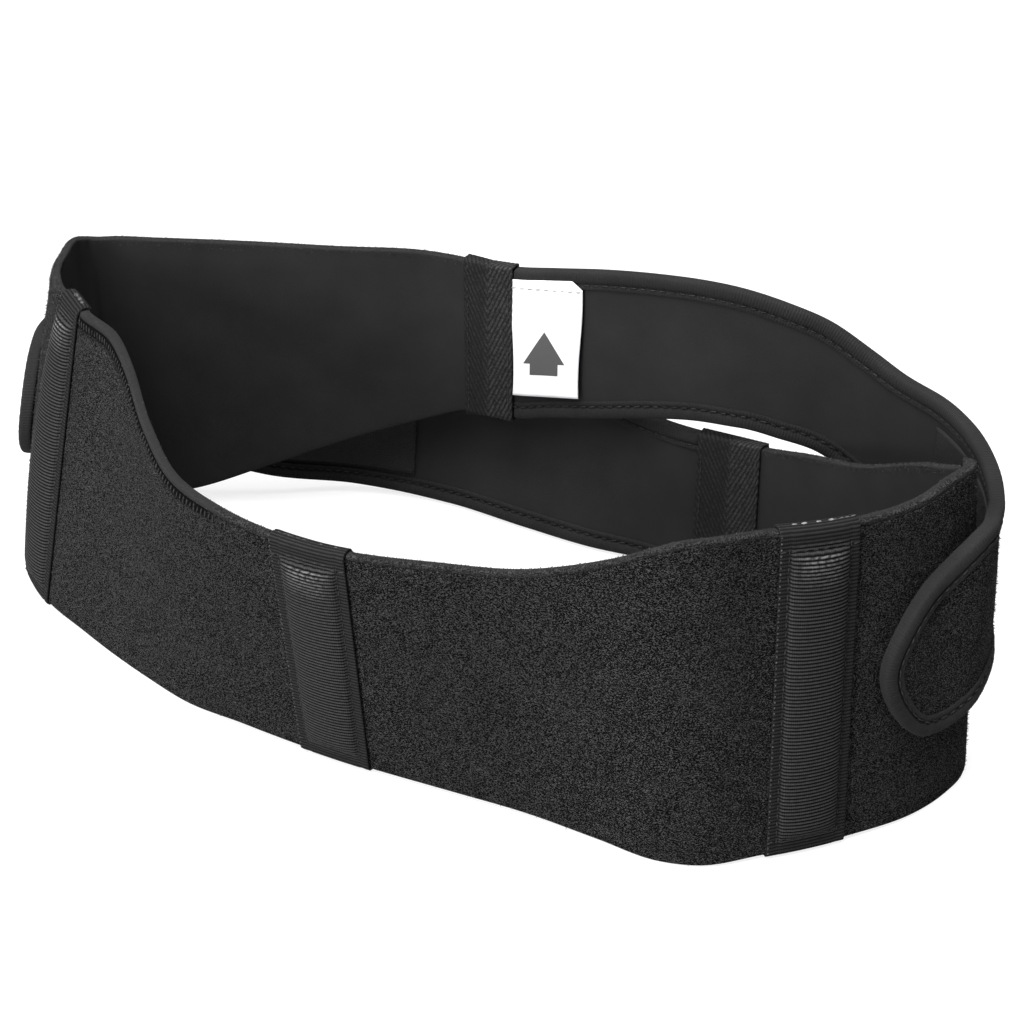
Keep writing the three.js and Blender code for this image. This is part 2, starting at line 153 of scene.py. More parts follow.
# A wall stands on a smooth path through its rows: u runs along its foot, z is a height and depth goes
# inwards from its outer face
class Wall:
    def __init__(self, rows):
        self.rows = np.array(rows, float)
        self.spans = np.hypot(*np.diff(self.rows[:, :2], axis=0).T)
        self.knots = np.concatenate([[0], np.cumsum(self.spans)])
        self.length = self.knots[-1]
        rise = np.diff(self.rows, axis=0) / self.spans[:, None]
        share = (self.spans[:-1] / (self.spans[:-1] + self.spans[1:]))[:, None]
        between = rise[:-1] * (1 - share) + rise[1:] * share
        turnsBack = rise[:-1] * rise[1:] <= 0
        turnsBack[:, :2] = False  # only heights and leans stay between those of their rows
        self.slopes = np.vstack([rise[:1], np.where(turnsBack, 0, between), rise[-1:]])

    def at(self, u):
        u = np.clip(np.asarray(u, float), 0, self.length)
        i = np.clip(np.searchsorted(self.knots, u, side="right") - 1, 0, len(self.spans) - 1)
        span = self.spans[i][..., None]
        t = (u - self.knots[i])[..., None] / span
        return (
            (2 * t**3 - 3 * t**2 + 1) * self.rows[i]
            + (t**3 - 2 * t**2 + t) * span * self.slopes[i]
            + (3 * t**2 - 2 * t**3) * self.rows[i + 1]
            + (t**3 - t**2) * span * self.slopes[i + 1]
        )

    def edges(self, u):
        row = self.at(u)
        return row[..., 2], row[..., 3]

    def inwards(self, u):
        reach = 0.5
        along = self.at(u + reach)[..., :2] - self.at(u - reach)[..., :2]
        along /= np.linalg.norm(along, axis=-1, keepdims=True)
        return np.stack([-along[..., 1], along[..., 0]], -1)

    def inset(self, row, z):
        t = (z - row[..., 2]) / (row[..., 3] - row[..., 2])
        return row[..., 4] * t - row[..., 5] * 4 * t * (1 - t)

    def point(self, u, z, depth):
        u, z, depth = np.broadcast_arrays(*(np.asarray(x, float) for x in (u, z, depth)))
        row = self.at(u)
        step = (self.inset(row, z) + depth)[..., None]
        plan = row[..., :2] + self.inwards(u) * step - loopCentre
        return np.concatenate([plan, z[..., None]], -1) * mm

    def nearest(self, x, y):
        u = np.linspace(0, self.length, 4000)
        return u[np.hypot(*(self.at(u)[:, :2] - (x, y)).T).argmin()]

    def rowOutside(self, u, foot, head, clearance):  # row of another wall that lies on this one
        row = self.at(u)
        low, high, middle = (self.inset(row, z) for z in (foot, head, (foot + head) / 2))
        x, y = row[:2] + self.inwards(u) * (low - clearance)
        return x, y, foot, head, high - low, (low + high) / 2 - middle


bandWall = Wall(bandRows)
bandCentre = bandWall.nearest(0, 0)
stickClearance = 4.5


def stuckRows(rows):
    places = [(bandCentre + along, foot, head) for along, foot, head in rows]
    return [bandWall.rowOutside(*place, stickClearance) for place in places]


upperWall = Wall(stuckRows(upperStuckRows) + upperFreeRows)
lowerWall = Wall(lowerFreeRows + stuckRows(lowerStuckRows))


# Node helpers: wires maps an input to a value or to another node's output
def addNode(tree, kind, wires=None, **settings):
    node = tree.nodes.new(kind)
    for key, value in settings.items():
        setattr(node, key, value)
    for key, value in (wires or {}).items():
        if isinstance(value, bpy.types.NodeSocket):
            tree.links.new(value, node.inputs[key])
        else:
            node.inputs[key].default_value = value
    return node


def wire(tree, kind, wires=None, **settings):  # the first output of a new node
    return addNode(tree, kind, wires, **settings).outputs[0]


def calc(tree, operation, *values):
    return wire(tree, "ShaderNodeMath", dict(enumerate(values)), operation=operation)


def product(tree, first, *others):
    for value in others:
        first = calc(tree, "MULTIPLY", first, value)
    return first


def wave(tree, value, pitch, turn=math.tau):
    return calc(tree, "SINE", calc(tree, "MULTIPLY", value, turn / pitch))


def blendRange(tree, value, low, high, toLow=0.0, toHigh=1.0, smooth=False):
    wires = {"Value": value, "From Min": low, "From Max": high, "To Min": toLow, "To Max": toHigh}
    kind = "SMOOTHSTEP" if smooth else "LINEAR"
    return wire(tree, "ShaderNodeMapRange", wires, interpolation_type=kind)


def newTree(name, *numbers):
    tree = bpy.data.node_groups.new(name, "GeometryNodeTree")
    face = tree.interface
    face.new_socket("Geometry", in_out="INPUT", socket_type="NodeSocketGeometry")
    for label in numbers:
        kind = "NodeSocketInt" if label == "Seed" else "NodeSocketFloat"
        face.new_socket(label, in_out="INPUT", socket_type=kind)
    face.new_socket("Material", in_out="INPUT", socket_type="NodeSocketMaterial")
    face.new_socket("Geometry", in_out="OUTPUT", socket_type="NodeSocketGeometry")
    return tree, addNode(tree, "NodeGroupInput").outputs


def endTree(tree, given, geometry):
    solid = wire(tree, "GeometryNodeRealizeInstances", {0: geometry})
    smooth = wire(tree, "GeometryNodeSetShadeSmooth", {0: solid})
    wires = {"Geometry": smooth, "Material": given["Material"]}
    addNode(tree, "NodeGroupOutput", {0: wire(tree, "GeometryNodeSetMaterial", wires)})
    return tree


def runTree(tree, piece, values):
    modifier = piece.modifiers.new(tree.name, "NODES")
    modifier.node_group = tree
    for socket in tree.interface.items_tree:
        if socket.in_out == "INPUT" and socket.name in values:
            modifier[socket.identifier] = values[socket.name]
    evaluated = piece.evaluated_get(bpy.context.evaluated_depsgraph_get())
    made = bpy.data.meshes.new_from_object(evaluated)
    piece.modifiers.remove(modifier)
    bare = piece.data
    piece.data = made
    bpy.data.meshes.remove(bare)
    made.name = piece.name
    return piece


# Mesh helpers
def setAttribute(mesh, name, values, kind="FLOAT_VECTOR"):
    attribute = mesh.attributes.new(name, kind, "POINT")
    field = "vector" if kind == "FLOAT_VECTOR" else "value"
    attribute.data.foreach_set(field, np.asarray(values, np.float32).ravel())


def newPiece(name, points, faces=(), edges=()):
    mesh = bpy.data.meshes.new(name)
    mesh.from_pydata(np.asarray(points).tolist(), [tuple(e) for e in edges], [tuple(f) for f in faces])
    piece = bpy.data.objects.new(name, mesh)
    bpy.context.scene.collection.objects.link(piece)
    return piece


# A closed sheet between two grids of points: the first index runs along a wall, the second up its outside.
# The cloth attribute keeps each point's flat place on the cloth in millimetres, and the weave's relief: 1
# or the given relief outside, 0 inside.
def makeSheet(name, outer, inner, flat, material, looped=False, relief=1.0):
    columns, rows = outer.shape[:2]
    front = np.arange(columns * rows).reshape(columns, rows)
    if looped:
        front = np.hstack([front, front[:, :1]])
    back = front + columns * rows

    def quads(a):
        return np.stack([a[:-1, :-1], a[1:, :-1], a[1:, 1:], a[:-1, 1:]], -1).reshape(-1, 4)

    def strip(a, b):
        return np.stack([a[:-1], b[:-1], b[1:], a[1:]], -1)

    faces = [quads(front), quads(back)[:, ::-1], strip(back[0], front[0]), strip(front[-1], back[-1])]
    if not looped:
        faces += [strip(front[:, 0], back[:, 0]), strip(back[:, -1], front[:, -1])]
    points = np.concatenate([outer.reshape(-1, 3), inner.reshape(-1, 3)])
    piece = newPiece(name, points, np.concatenate(faces).tolist())
    cloth = [np.dstack(np.broadcast_arrays(*flat, weave)).reshape(-1, 3) for weave in (relief, 0.0)]
    setAttribute(piece.data, "cloth", np.concatenate(cloth))
    piece.data.materials.append(finish[material])
    piece.data.shade_smooth()
    return piece


def steps(start, end, step):
    return np.linspace(start, end, max(2, math.ceil(abs(end - start) / step) + 1))


def smoothstep(low, high, value):
    t = np.clip((value - low) / (high - low), 0, 1)
    return t * t * (3 - 2 * t)


# Heights of a wall's rows between its edges, and how far each row draws in to round the edge off; more
# rows may lie at given distances below the upper edge
def edgeRows(foot, head, roundness, step, belowHead=()):
    near = roundness * np.array([0, 0.07, 0.28, 0.6, 1])
    count = max(3, round((np.mean(head - foot) - 2 * roundness) / step))
    middle = np.linspace(0, 1, count + 1)[1:-1]
    foot, head = np.asarray(foot)[:, None], np.asarray(head)[:, None]
    inner = foot + roundness + (head - foot - 2 * roundness) * middle
    inner = np.sort(np.hstack([inner, head - np.array(belowHead)]), axis=1)
    z = np.hstack([foot + near, inner, head - near[::-1]])
    ease = roundness - np.sqrt(roundness**2 - (roundness - near) ** 2)
    return z, np.concatenate([ease, np.zeros(inner.shape[1]), ease[::-1]])


# How far along a line each of its points lies
def travelled(line):
    return np.concatenate([[0], np.cumsum(np.hypot(*np.diff(line, axis=0).T))])


# Points evenly along a line of (z, depth) corners, with its corners rounded, and the line's length
def roundedLine(corners, radius, count=2):
    corners = np.array(corners, float)
    line = [corners[:1]]
    for before, corner, after in zip(corners[:-2], corners[1:-1], corners[2:]):
        reach = [min(radius, np.linalg.norm(side - corner) / 2) for side in (before, after)]
        a = corner + (before - corner) / np.linalg.norm(before - corner) * reach[0]
        b = corner + (after - corner) / np.linalg.norm(after - corner) * reach[1]
        t = np.linspace(0, 1, 9)[:, None]
        line.append((1 - t) ** 2 * a + 2 * t * (1 - t) * corner + t**2 * b)
    line = np.vstack([*line, corners[-1:]])
    far = travelled(line)
    place = np.linspace(0, far[-1], count)
    return np.stack([np.interp(place, far, line[:, k]) for k in range(2)], -1), far[-1]


# Shader node groups that several cloths share
def newGroup(name):
    return bpy.data.node_groups.new(name, "ShaderNodeTree")


def endGroup(tree, outputs):
    for label in outputs:
        tree.interface.new_socket(label, in_out="OUTPUT", socket_type="NodeSocketFloat")
    addNode(tree, "NodeGroupOutput", outputs)
    return tree


def clothPlace(tree):
    return addNode(tree, "ShaderNodeAttribute", attribute_name="cloth").outputs["Vector"]


def clothAxes(tree):  # X along or across the cloth, Y up it, Z its relief
    return addNode(tree, "ShaderNodeSeparateXYZ", {0: clothPlace(tree)}).outputs


def noise(tree, place, scale, detail, distortion=0.0):
    wires = {"Vector": place, "Scale": scale, "Detail": detail, "Distortion": distortion}
    return wire(tree, "ShaderNodeTexNoise", wires)


napFinish = {
    "dark": 0.0002, "light": 0.07, "fineness": 2.7, "slant": 0.08, "flecks": 0.9, "bump": 0.4, "wearAndGleamPatches": 0.55,
}


# Nap: curly fibres lying slantwise, as tone and height
def makeNapGroup():
    tree = newGroup("napGrain")
    turn = (0, 0, napFinish["slant"])
    wires = {"Vector": clothPlace(tree), "Rotation": turn, "Scale": (0.75, 1.35, 1.0)}
    place = wire(tree, "ShaderNodeMapping", wires)
    curl = noise(tree, place, napFinish["fineness"], 1.0, 0.3)
    speck = noise(tree, place, napFinish["fineness"] * 1.9, 1.0)
    patch = noise(tree, place, 0.06, 2.0)
    body = blendRange(tree, curl, 0.47, 0.61, smooth=True)
    fleck = product(tree, blendRange(tree, speck, 0.6, 0.74, smooth=True), napFinish["flecks"])
    height = calc(tree, "ADD", body, fleck)
    tone = calc(tree, "ADD", height, blendRange(tree, patch, 0.3, 0.7, -0.05, 0.05))
    return endGroup(tree, {"Tone": tone, "Height": height})


knitGrain = {"wale": 0.55, "course": 0.4, "haze": 0.05, "lint": 2.2}


# Knit: fine upright wales and slow cloudiness
def makeKnitGroup():
    tree = newGroup("knitGrain")
    place = clothAxes(tree)
    wale = wave(tree, place["X"], knitGrain["wale"])
    course = wave(tree, place["Y"], knitGrain["course"])
    loops = calc(tree, "MULTIPLY_ADD", product(tree, wale, course), 0.5, 0.5)
    cloud = blendRange(tree, noise(tree, clothPlace(tree), knitGrain["haze"], 3.0), 0.3, 0.7)
    grain = blendRange(tree, noise(tree, clothPlace(tree), knitGrain["lint"], 2.0), 0.3, 0.7)
    tone = calc(tree, "ADD", product(tree, cloud, 0.6), product(tree, grain, 0.4))
    return endGroup(tree, {"Tone": tone, "Height": calc(tree, "MULTIPLY_ADD", grain, 0.5, loops)})


lintSpecks = {"spacing": 9.0, "size": 0.12}


# Lint: a few pale specks caught on dark cloth
def makeLintGroup():
    tree = newGroup("lintSpecks")
    scale = 1 / lintSpecks["spacing"]
    cells = addNode(tree, "ShaderNodeTexVoronoi", {"Vector": clothPlace(tree), "Scale": scale})
    near = calc(tree, "LESS_THAN", cells.outputs["Distance"], lintSpecks["size"] * scale)
    return endGroup(tree, {"Mask": near})


napGroup = makeNapGroup()
knitGroup = makeKnitGroup()
lintGroup = makeLintGroup()


def useGroup(tree, group):
    return addNode(tree, "ShaderNodeGroup", node_tree=group).outputs


def grey(value):  # a slightly cool tone
    return (value, value, value * 1.02, 1)


def mixColour(tree, factor, *tones):  # each of the two is a grey or another node's colour
    first, second = (tone if isinstance(tone, bpy.types.NodeSocket) else grey(tone) for tone in tones)
    wires = {"Factor": factor, 6: first, 7: second}
    return addNode(tree, "ShaderNodeMix", wires, data_type="RGBA").outputs[2]


def newMaterial(name, roughness, specular, sheen=0.0):
    material = bpy.data.materials.new(name)
    material.use_nodes = True
    shader = material.node_tree.nodes["Principled BSDF"]
    shader.inputs["Roughness"].default_value = roughness
    shader.inputs["Specular IOR Level"].default_value = specular
    shader.inputs["Sheen Weight"].default_value = sheen
    return material, material.node_tree


# The end of a finish: its colour and, where given, its roughness and its bump in millimetres
def endFinish(material, colour, roughness=None, height=None, bump=0.0):
    tree = material.node_tree
    inputs = tree.nodes["Principled BSDF"].inputs
    tree.links.new(colour, inputs["Base Color"])
    if roughness is not None:
        tree.links.new(roughness, inputs["Roughness"])
    if height is not None:
        bumped = wire(tree, "ShaderNodeBump", {"Height": height, "Distance": bump * mm})
        tree.links.new(bumped, inputs["Normal"])
    return material


# Finishes
def makeNap():
    material, tree = newMaterial("brushedNap", 0.95, 0.1)
    grain = useGroup(tree, napGroup)
    tone = product(tree, grain["Tone"], clothAxes(tree)["Z"])
    colour = mixColour(tree, tone, napFinish["dark"], napFinish["light"])
    roughness = blendRange(tree, tone, 0, 1, 1.0, 0.8)
    return endFinish(material, colour, roughness, grain["Height"], napFinish["bump"])


bandKnit = {"dark": 0.0132, "light": 0.0188, "bump": 0.06, "lint": 0.05, "sheen": 0.012}
strapKnit = {"dark": 0.0138, "light": 0.0188, "bump": 0.06, "lint": 0.06, "sheen": 0.012}
edgingKnit = {"dark": 0.012, "light": 0.018, "bump": 0.09, "lint": 0.07, "sheen": 0.02, "pucker": 1.1}


# A napped knit is brushed on its outside, which shows where it rolls over an edge
def makeKnit(name, knit, napped=False):
    material, tree = newMaterial(name, 0.9, 0.2, knit["sheen"])
    grain = useGroup(tree, knitGroup)
    place = clothAxes(tree)
    cloth = mixColour(tree, grain["Tone"], knit["dark"], knit["light"])
    colour = mixColour(tree, useGroup(tree, lintGroup)["Mask"], cloth, knit["lint"])
    if napped:
        nap = useGroup(tree, napGroup)["Tone"]
        pile = mixColour(tree, nap, napFinish["dark"], napFinish["light"] * napFinish["wearAndGleamPatches"])
        colour = mixColour(tree, place["Z"], colour, pile)
    height = grain["Height"]
    if "pucker" in knit:
        height = calc(tree, "MULTIPLY_ADD", wave(tree, place["X"], knit["pucker"]), 0.7, height)
    roughness = blendRange(tree, grain["Tone"], 0, 1, 0.95, 0.8)
    return endFinish(material, colour, roughness, height, knit["bump"])


# gleam, gleamFrom and gleamTo: the tone of the painted highlight on the ribs, and where along the cloth it
# starts and fades out, in millimetres
ribbonFinish = {
    "dark": 0.0012, "light": 0.047, "plain": 0.011, "weft": 0.62, "bump": 0.12, "pitch": 1.2,
    "gleam": 0.17, "gleamFrom": 18.4, "gleamTo": 29.0,
}


# Ribbon: satin ribs with the weft's dots across them, and a painted highlight: the first ribs below the
# upper fold are painted lighter
def makeRibbonFinish():
    material, tree = newMaterial("ribbonSatin", 0.5, 0.06)
    place = clothAxes(tree)
    rib = calc(tree, "ABSOLUTE", wave(tree, place["Y"], ribbonFinish["pitch"], math.pi))
    crest = calc(tree, "POWER", rib, 1.8)
    weft = wave(tree, place["X"], ribbonFinish["weft"])
    dots = calc(tree, "MULTIPLY_ADD", product(tree, weft, crest), 0.25, crest)
    fuzz = noise(tree, clothPlace(tree), 0.9, 3.0)
    tone = product(tree, dots, blendRange(tree, fuzz, 0.25, 0.7, 0.65, 1.1))
    ribbed = mixColour(tree, tone, ribbonFinish["dark"], ribbonFinish["light"])
    cloth = mixColour(tree, place["Z"], ribbonFinish["plain"], ribbed)
    # Painted highlight: the rib crests below the upper fold are painted lighter, most in the middle of the
    # ribbon, in patches from the noise
    start = ribbonFinish["gleamFrom"]
    fading = blendRange(tree, place["Y"], start, ribbonFinish["gleamTo"], 1.0, 0.0)
    begun = calc(tree, "GREATER_THAN", place["Y"], start - 0.5)
    middle = blendRange(tree, calc(tree, "ABSOLUTE", place["X"]), 3.0, 9.5, 1.0, 0.0, smooth=True)
    wearAndGleamPatches = blendRange(tree, fuzz, 0.35, 0.6)
    paintedHighlight = product(tree, fading, begun, middle, wearAndGleamPatches, calc(tree, "POWER", crest, 2.0), place["Z"])
    colour = mixColour(tree, paintedHighlight, cloth, ribbonFinish["gleam"])
    roughness = blendRange(tree, tone, 0, 1, 0.85, 0.36)
    return endFinish(material, colour, roughness, calc(tree, "ADD", dots, fuzz), ribbonFinish["bump"])


tapeFinish = {"dark": 0.004, "light": 0.034, "pitch": 3.6, "slope": 2.1, "bump": 0.15}


# Tape: herringbone twill, its lines turning at the middle of the tape, with painted shade on one arm of the
# twill
def makeTapeFinish():
    material, tree = newMaterial("herringboneTape", 0.8, 0.25)
    place = clothAxes(tree)
    arm = product(tree, calc(tree, "ABSOLUTE", place["X"]), tapeFinish["slope"])
    twill = wave(tree, calc(tree, "ADD", place["Y"], arm), tapeFinish["pitch"], math.pi)
    crest = calc(tree, "ABSOLUTE", twill)
    fuzz = noise(tree, clothPlace(tree), 1.5, 3.0)
    wearAndGleamPatches = blendRange(tree, fuzz, 0.38, 0.64, 0.15, 1.2)
    # Painted shade: the twill's arm past the middle is painted darker, since only the other arm lies with
    # the light
    paintedArmShade = blendRange(tree, place["X"], -1.0, 2.0, 1.0, 0.4)  # one arm of the twill lies with the light
    tone = product(tree, crest, wearAndGleamPatches, paintedArmShade)
    colour = mixColour(tree, tone, tapeFinish["dark"], tapeFinish["light"])
    roughness = blendRange(tree, tone, 0, 1, 0.9, 0.6)
    return endFinish(material, colour, roughness, calc(tree, "ADD", crest, fuzz), tapeFinish["bump"])


hookFinish = {"dark": 0.012, "light": 0.021, "pitch": 1.3, "bump": 0.12}


def makeHookFinish():
    material, tree = newMaterial("hookTape", 0.6, 0.4)
    place = clothAxes(tree)
    waves = [wave(tree, place[axis], hookFinish["pitch"]) for axis in "XY"]
    stem = blendRange(tree, product(tree, *waves), 0.1, 0.8)
    tone = product(tree, stem, noise(tree, clothPlace(tree), 0.7, 2.0))
    colour = mixColour(tree, tone, hookFinish["dark"], hookFinish["light"])
    return endFinish(material, colour, blendRange(tree, tone, 0, 1, 0.8, 0.5), stem, hookFinish["bump"])


# Label: white satin with a plain arrow that points to the upper edge. Places from its lower middle.
arrowPrint = {"centre": -0.8, "apex": 26.3, "base": 13.4, "half": 9.0, "stemHalf": 6.1, "stemFoot": 8.8}
labelFinish = {"white": 0.92, "ink": 0.07, "thread": 0.45, "bump": 0.03}


def makeLabelFinish():
    material, tree = newMaterial("labelSatin", 0.55, 0.4)
    place = clothAxes(tree)
    off = calc(tree, "ABSOLUTE", calc(tree, "SUBTRACT", place["X"], arrowPrint["centre"]))
    tall = arrowPrint["apex"] - arrowPrint["base"]
    drop = calc(tree, "SUBTRACT", arrowPrint["apex"], place["Y"])
    side = product(tree, drop, arrowPrint["half"] / tall)
    inHead = product(tree, calc(tree, "LESS_THAN", off, side), calc(tree, "LESS_THAN", drop, tall))
    aboveFoot = calc(tree, "GREATER_THAN", place["Y"], arrowPrint["stemFoot"])
    belowHead = calc(tree, "LESS_THAN", place["Y"], arrowPrint["base"] + 0.1)
    inStem = product(tree, aboveFoot, belowHead, calc(tree, "LESS_THAN", off, arrowPrint["stemHalf"]))
    printed = product(tree, calc(tree, "MAXIMUM", inHead, inStem), place["Z"])
    weave = wave(tree, place["Y"], labelFinish["thread"])
    cloud = blendRange(tree, noise(tree, clothPlace(tree), 0.15, 2.0), 0.3, 0.7)
    white = mixColour(tree, cloud, labelFinish["white"] * 0.96, labelFinish["white"])
    colour = mixColour(tree, printed, white, labelFinish["ink"])
    roughness = blendRange(tree, weave, -1, 1, 0.5, 0.65)
    return endFinish(material, colour, roughness, weave, labelFinish["bump"])


# Threads: plain fibre colour with a little drift from place to place
def makeThread(name, dark, light, roughness):
    material, tree = newMaterial(name, roughness, 0.3)
    twist = noise(tree, addNode(tree, "ShaderNodeTexCoord").outputs["Object"], 900.0, 2.0)
    colour = mixColour(tree, blendRange(tree, twist, 0.35, 0.65), dark, light)
    return endFinish(material, colour, height=twist, bump=0.05)


# Loose fibres: mostly black, a few painted lighter as painted glints, as if they caught the light
fibreFinish = {"dark": 0.004, "light": 0.12, "glintFrom": 0.65}


def makeFibreFinish():
    material, tree = newMaterial("looseFibre", 0.7, 0.2)
    chance = addNode(tree, "ShaderNodeTexWhiteNoise", {"Vector": clothPlace(tree)}).outputs["Value"]
    # the fibres picked at random above the threshold are painted lighter: painted glints
    tone = blendRange(tree, chance, fibreFinish["glintFrom"], 1.0)
    colour = mixColour(tree, tone, fibreFinish["dark"], fibreFinish["light"])
    return endFinish(material, colour, blendRange(tree, tone, 0, 1, 0.8, 0.5))


finish = {
    "nap": makeNap(),
    "bandKnit": makeKnit("bandKnit", bandKnit, napped=True),
    "strapKnit": makeKnit("strapKnit", strapKnit),
    "edging": makeKnit("bindingKnit", edgingKnit),
    "ribbon": makeRibbonFinish(),
    "tape": makeTapeFinish(),
    "hooks": makeHookFinish(),
    "label": makeLabelFinish(),
    "thread": makeThread("blackThread", 0.006, 0.03, 0.6),
    "darkThread": makeThread("overlockThread", 0.008, 0.045, 0.9),
    # Pale thread: frayed tufts, and a strand that is partly a painted highlight on the right ribbon's fold
    "frayAndGlintThread": makeThread("frayedThreadAndGlint", 0.08, 0.3, 0.5),
    "greyThread": makeThread("selvedgeThread", 0.02, 0.08, 0.5),
    "whiteThread": makeThread("whiteThread", 0.2, 0.34, 0.6),
    "fibre": makeFibreFinish(),
}
print("finishes made:", len(finish))


def namedAttribute(tree, name, kind="FLOAT_VECTOR"):
    return wire(tree, "GeometryNodeInputNamedAttribute", {"Name": name}, data_type=kind)


def randomValue(tree, given, low, high, kind="FLOAT"):
    wires = {"Min": low, "Max": high, "Seed": given["Seed"]}
    return addNode(tree, "FunctionNodeRandomValue", wires, data_type=kind).outputs["Value"]


def scaled(tree, vector, factor):
    return wire(tree, "ShaderNodeVectorMath", {0: vector, "Scale": factor}, operation="SCALE")


# Geometry Nodes: stitches along lines of points, whose facing attribute is the cloth's outward side
def makeStitchTree():
    tree, given = newTree("stitchRun", "Pitch", "Length", "Width", "Height", "Turn", "Seed")
    line = wire(tree, "GeometryNodeMeshToCurve", {0: given["Geometry"]})
    wires = {"Curve": line, "Length": given["Pitch"]}
    places = addNode(tree, "GeometryNodeCurveToPoints", wires, mode="LENGTH").outputs
    align = "FunctionNodeAlignRotationToVector"
    along = wire(tree, align, {"Vector": places["Tangent"]}, axis="X")
    wires = {"Rotation": along, "Vector": namedAttribute(tree, "facing")}
    upright = wire(tree, align, wires, axis="Z", pivot_axis="X")
    askew = calc(tree, "ADD", given["Turn"], randomValue(tree, given, -0.14, 0.14))
    angle = wire(tree, "ShaderNodeCombineXYZ", {"Z": askew})
    wires = {"Rotation": upright, "Rotate By": wire(tree, "FunctionNodeEulerToRotation", {0: angle})}
    laid = wire(tree, "FunctionNodeRotateRotation", wires, rotation_space="LOCAL")
    wires = {"X": given["Length"], "Y": given["Width"], "Z": given["Height"]}
    size = wire(tree, "ShaderNodeCombineXYZ", wires)
    thread = wire(tree, "GeometryNodeMeshUVSphere", {"Segments": 6, "Rings": 4, "Radius": 0.5})
    wires = {"Points": places["Points"], "Instance": thread, "Rotation": laid}
    wires["Scale"] = scaled(tree, size, randomValue(tree, given, 0.85, 1.12))
    return endTree(tree, given, wire(tree, "GeometryNodeInstanceOnPoints", wires))


# Geometry Nodes: short fibres standing out of a cloth where its nap attribute asks for them
def makeFibreTree():
    tree, given = newTree("napFibres", "Density", "Length", "Width", "Lay", "Seed")
    density = product(tree, namedAttribute(tree, "nap", "FLOAT"), given["Density"])
    wires = {"Mesh": given["Geometry"], "Density": density, "Seed": given["Seed"]}
    spread = addNode(tree, "GeometryNodeDistributePointsOnFaces", wires).outputs
    stray = randomValue(tree, given, (-1, -1, -1), (1, 1, 1), "FLOAT_VECTOR")
    wires = {0: spread["Normal"], 1: scaled(tree, stray, given["Lay"])}
    pointing = wire(tree, "ShaderNodeVectorMath", wires, operation="ADD")
    stand = wire(tree, "FunctionNodeAlignRotationToVector", {"Vector": pointing}, axis="Z")
    half = product(tree, given["Width"], 0.5)
    wires = {"Vertices": 3, "Radius Top": 0.0, "Radius Bottom": half, "Depth": given["Length"]}
    spike = addNode(tree, "GeometryNodeMeshCone", wires, fill_type="NONE").outputs["Mesh"]
    wires = {"Points": spread["Points"], "Instance": spike, "Rotation": stand}
    wires["Scale"] = randomValue(tree, given, 0.55, 1.35)
    return endTree(tree, given, wire(tree, "GeometryNodeInstanceOnPoints", wires))


# Geometry Nodes: raised lines on the outside of a woven trim, straight across or turning at its middle
def makeReliefTree():
    tree, given = newTree("wovenRelief", "Pitch", "Height", "Slope")
    place = addNode(tree, "ShaderNodeSeparateXYZ", {0: namedAttribute(tree, "cloth")}).outputs
    arm = product(tree, calc(tree, "ABSOLUTE", place["X"]), given["Slope"])
    line = calc(tree, "DIVIDE", calc(tree, "ADD", place["Y"], arm), given["Pitch"])
    crest = calc(tree, "ABSOLUTE", wave(tree, line, 1.0, math.pi))
    lift = product(tree, crest, given["Height"], place["Z"])
    offset = scaled(tree, wire(tree, "GeometryNodeInputNormal"), lift)
    wires = {"Geometry": given["Geometry"], "Offset": offset}
    return endTree(tree, given, wire(tree, "GeometryNodeSetPosition", wires))


stitchTree = makeStitchTree()
fibreTree = makeFibreTree()
reliefTree = makeReliefTree()
seamThread = (0.5, 0.45)  # width and height of a black stitch


# Stitch lines are arrays of points with the side that they face; several may share one piece
def makeStitches(name, lines, thread, pitch, length, width=0.5, height=0.4, turn=0.0, seed=3):
    points, facing = (np.concatenate(parts) for parts in zip(*lines))
    edges, start = [], 0
    for line, _ in lines:
        edges += [(i, i + 1) for i in range(start, start + len(line) - 1)]
        start += len(line)
    piece = newPiece(name, points, edges=edges)
    setAttribute(piece.data, "facing", facing)
    sizes = {"Pitch": pitch, "Length": length, "Width": width, "Height": height}
    values = {key: value * mm for key, value in sizes.items()}
    return runTree(stitchTree, piece, {**values, "Turn": turn, "Seed": seed, "Material": finish[thread]})


# A stitch line on a wall, facing out of the wall or, at -1, into it
def seamLine(wall, u, z, depth, outwards=1.0):
    side = -wall.inwards(np.asarray(u, float)) * outwards
    return wall.point(u, z, depth), np.hstack([side, np.zeros((len(side), 1))])


# Fibres grow from a copy of a sheet, so that the sheet itself stays one clean body
def makeFibres(name, sheet, nap, fibre, seed, material="fibre"):
    piece = bpy.data.objects.new(name, sheet.data.copy())
    bpy.context.scene.collection.objects.link(piece)
    setAttribute(piece.data, "nap", nap, kind="FLOAT")
    values = {"Density": fibre["density"] * 1e6, "Lay": fibre["lay"], "Seed": seed}
    values |= {"Length": fibre["length"] * mm, "Width": fibre["width"] * mm}
    return runTree(fibreTree, piece, {**values, "Material": finish[material]})


def addRelief(sheet, pitch, height, slope, material):
    values = {"Pitch": pitch, "Height": height * mm, "Slope": slope}
    runTree(reliefTree, sheet, {**values, "Material": finish[material]})


def addToPart(piece, slot, *nodes):
    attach(piece, "root")
    if nodes:
        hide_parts(*nodes)


def declareSheet(piece, width, length, area, held, restsOn=(), extras=()):
    rests, extras = list(restsOn), list(extras)


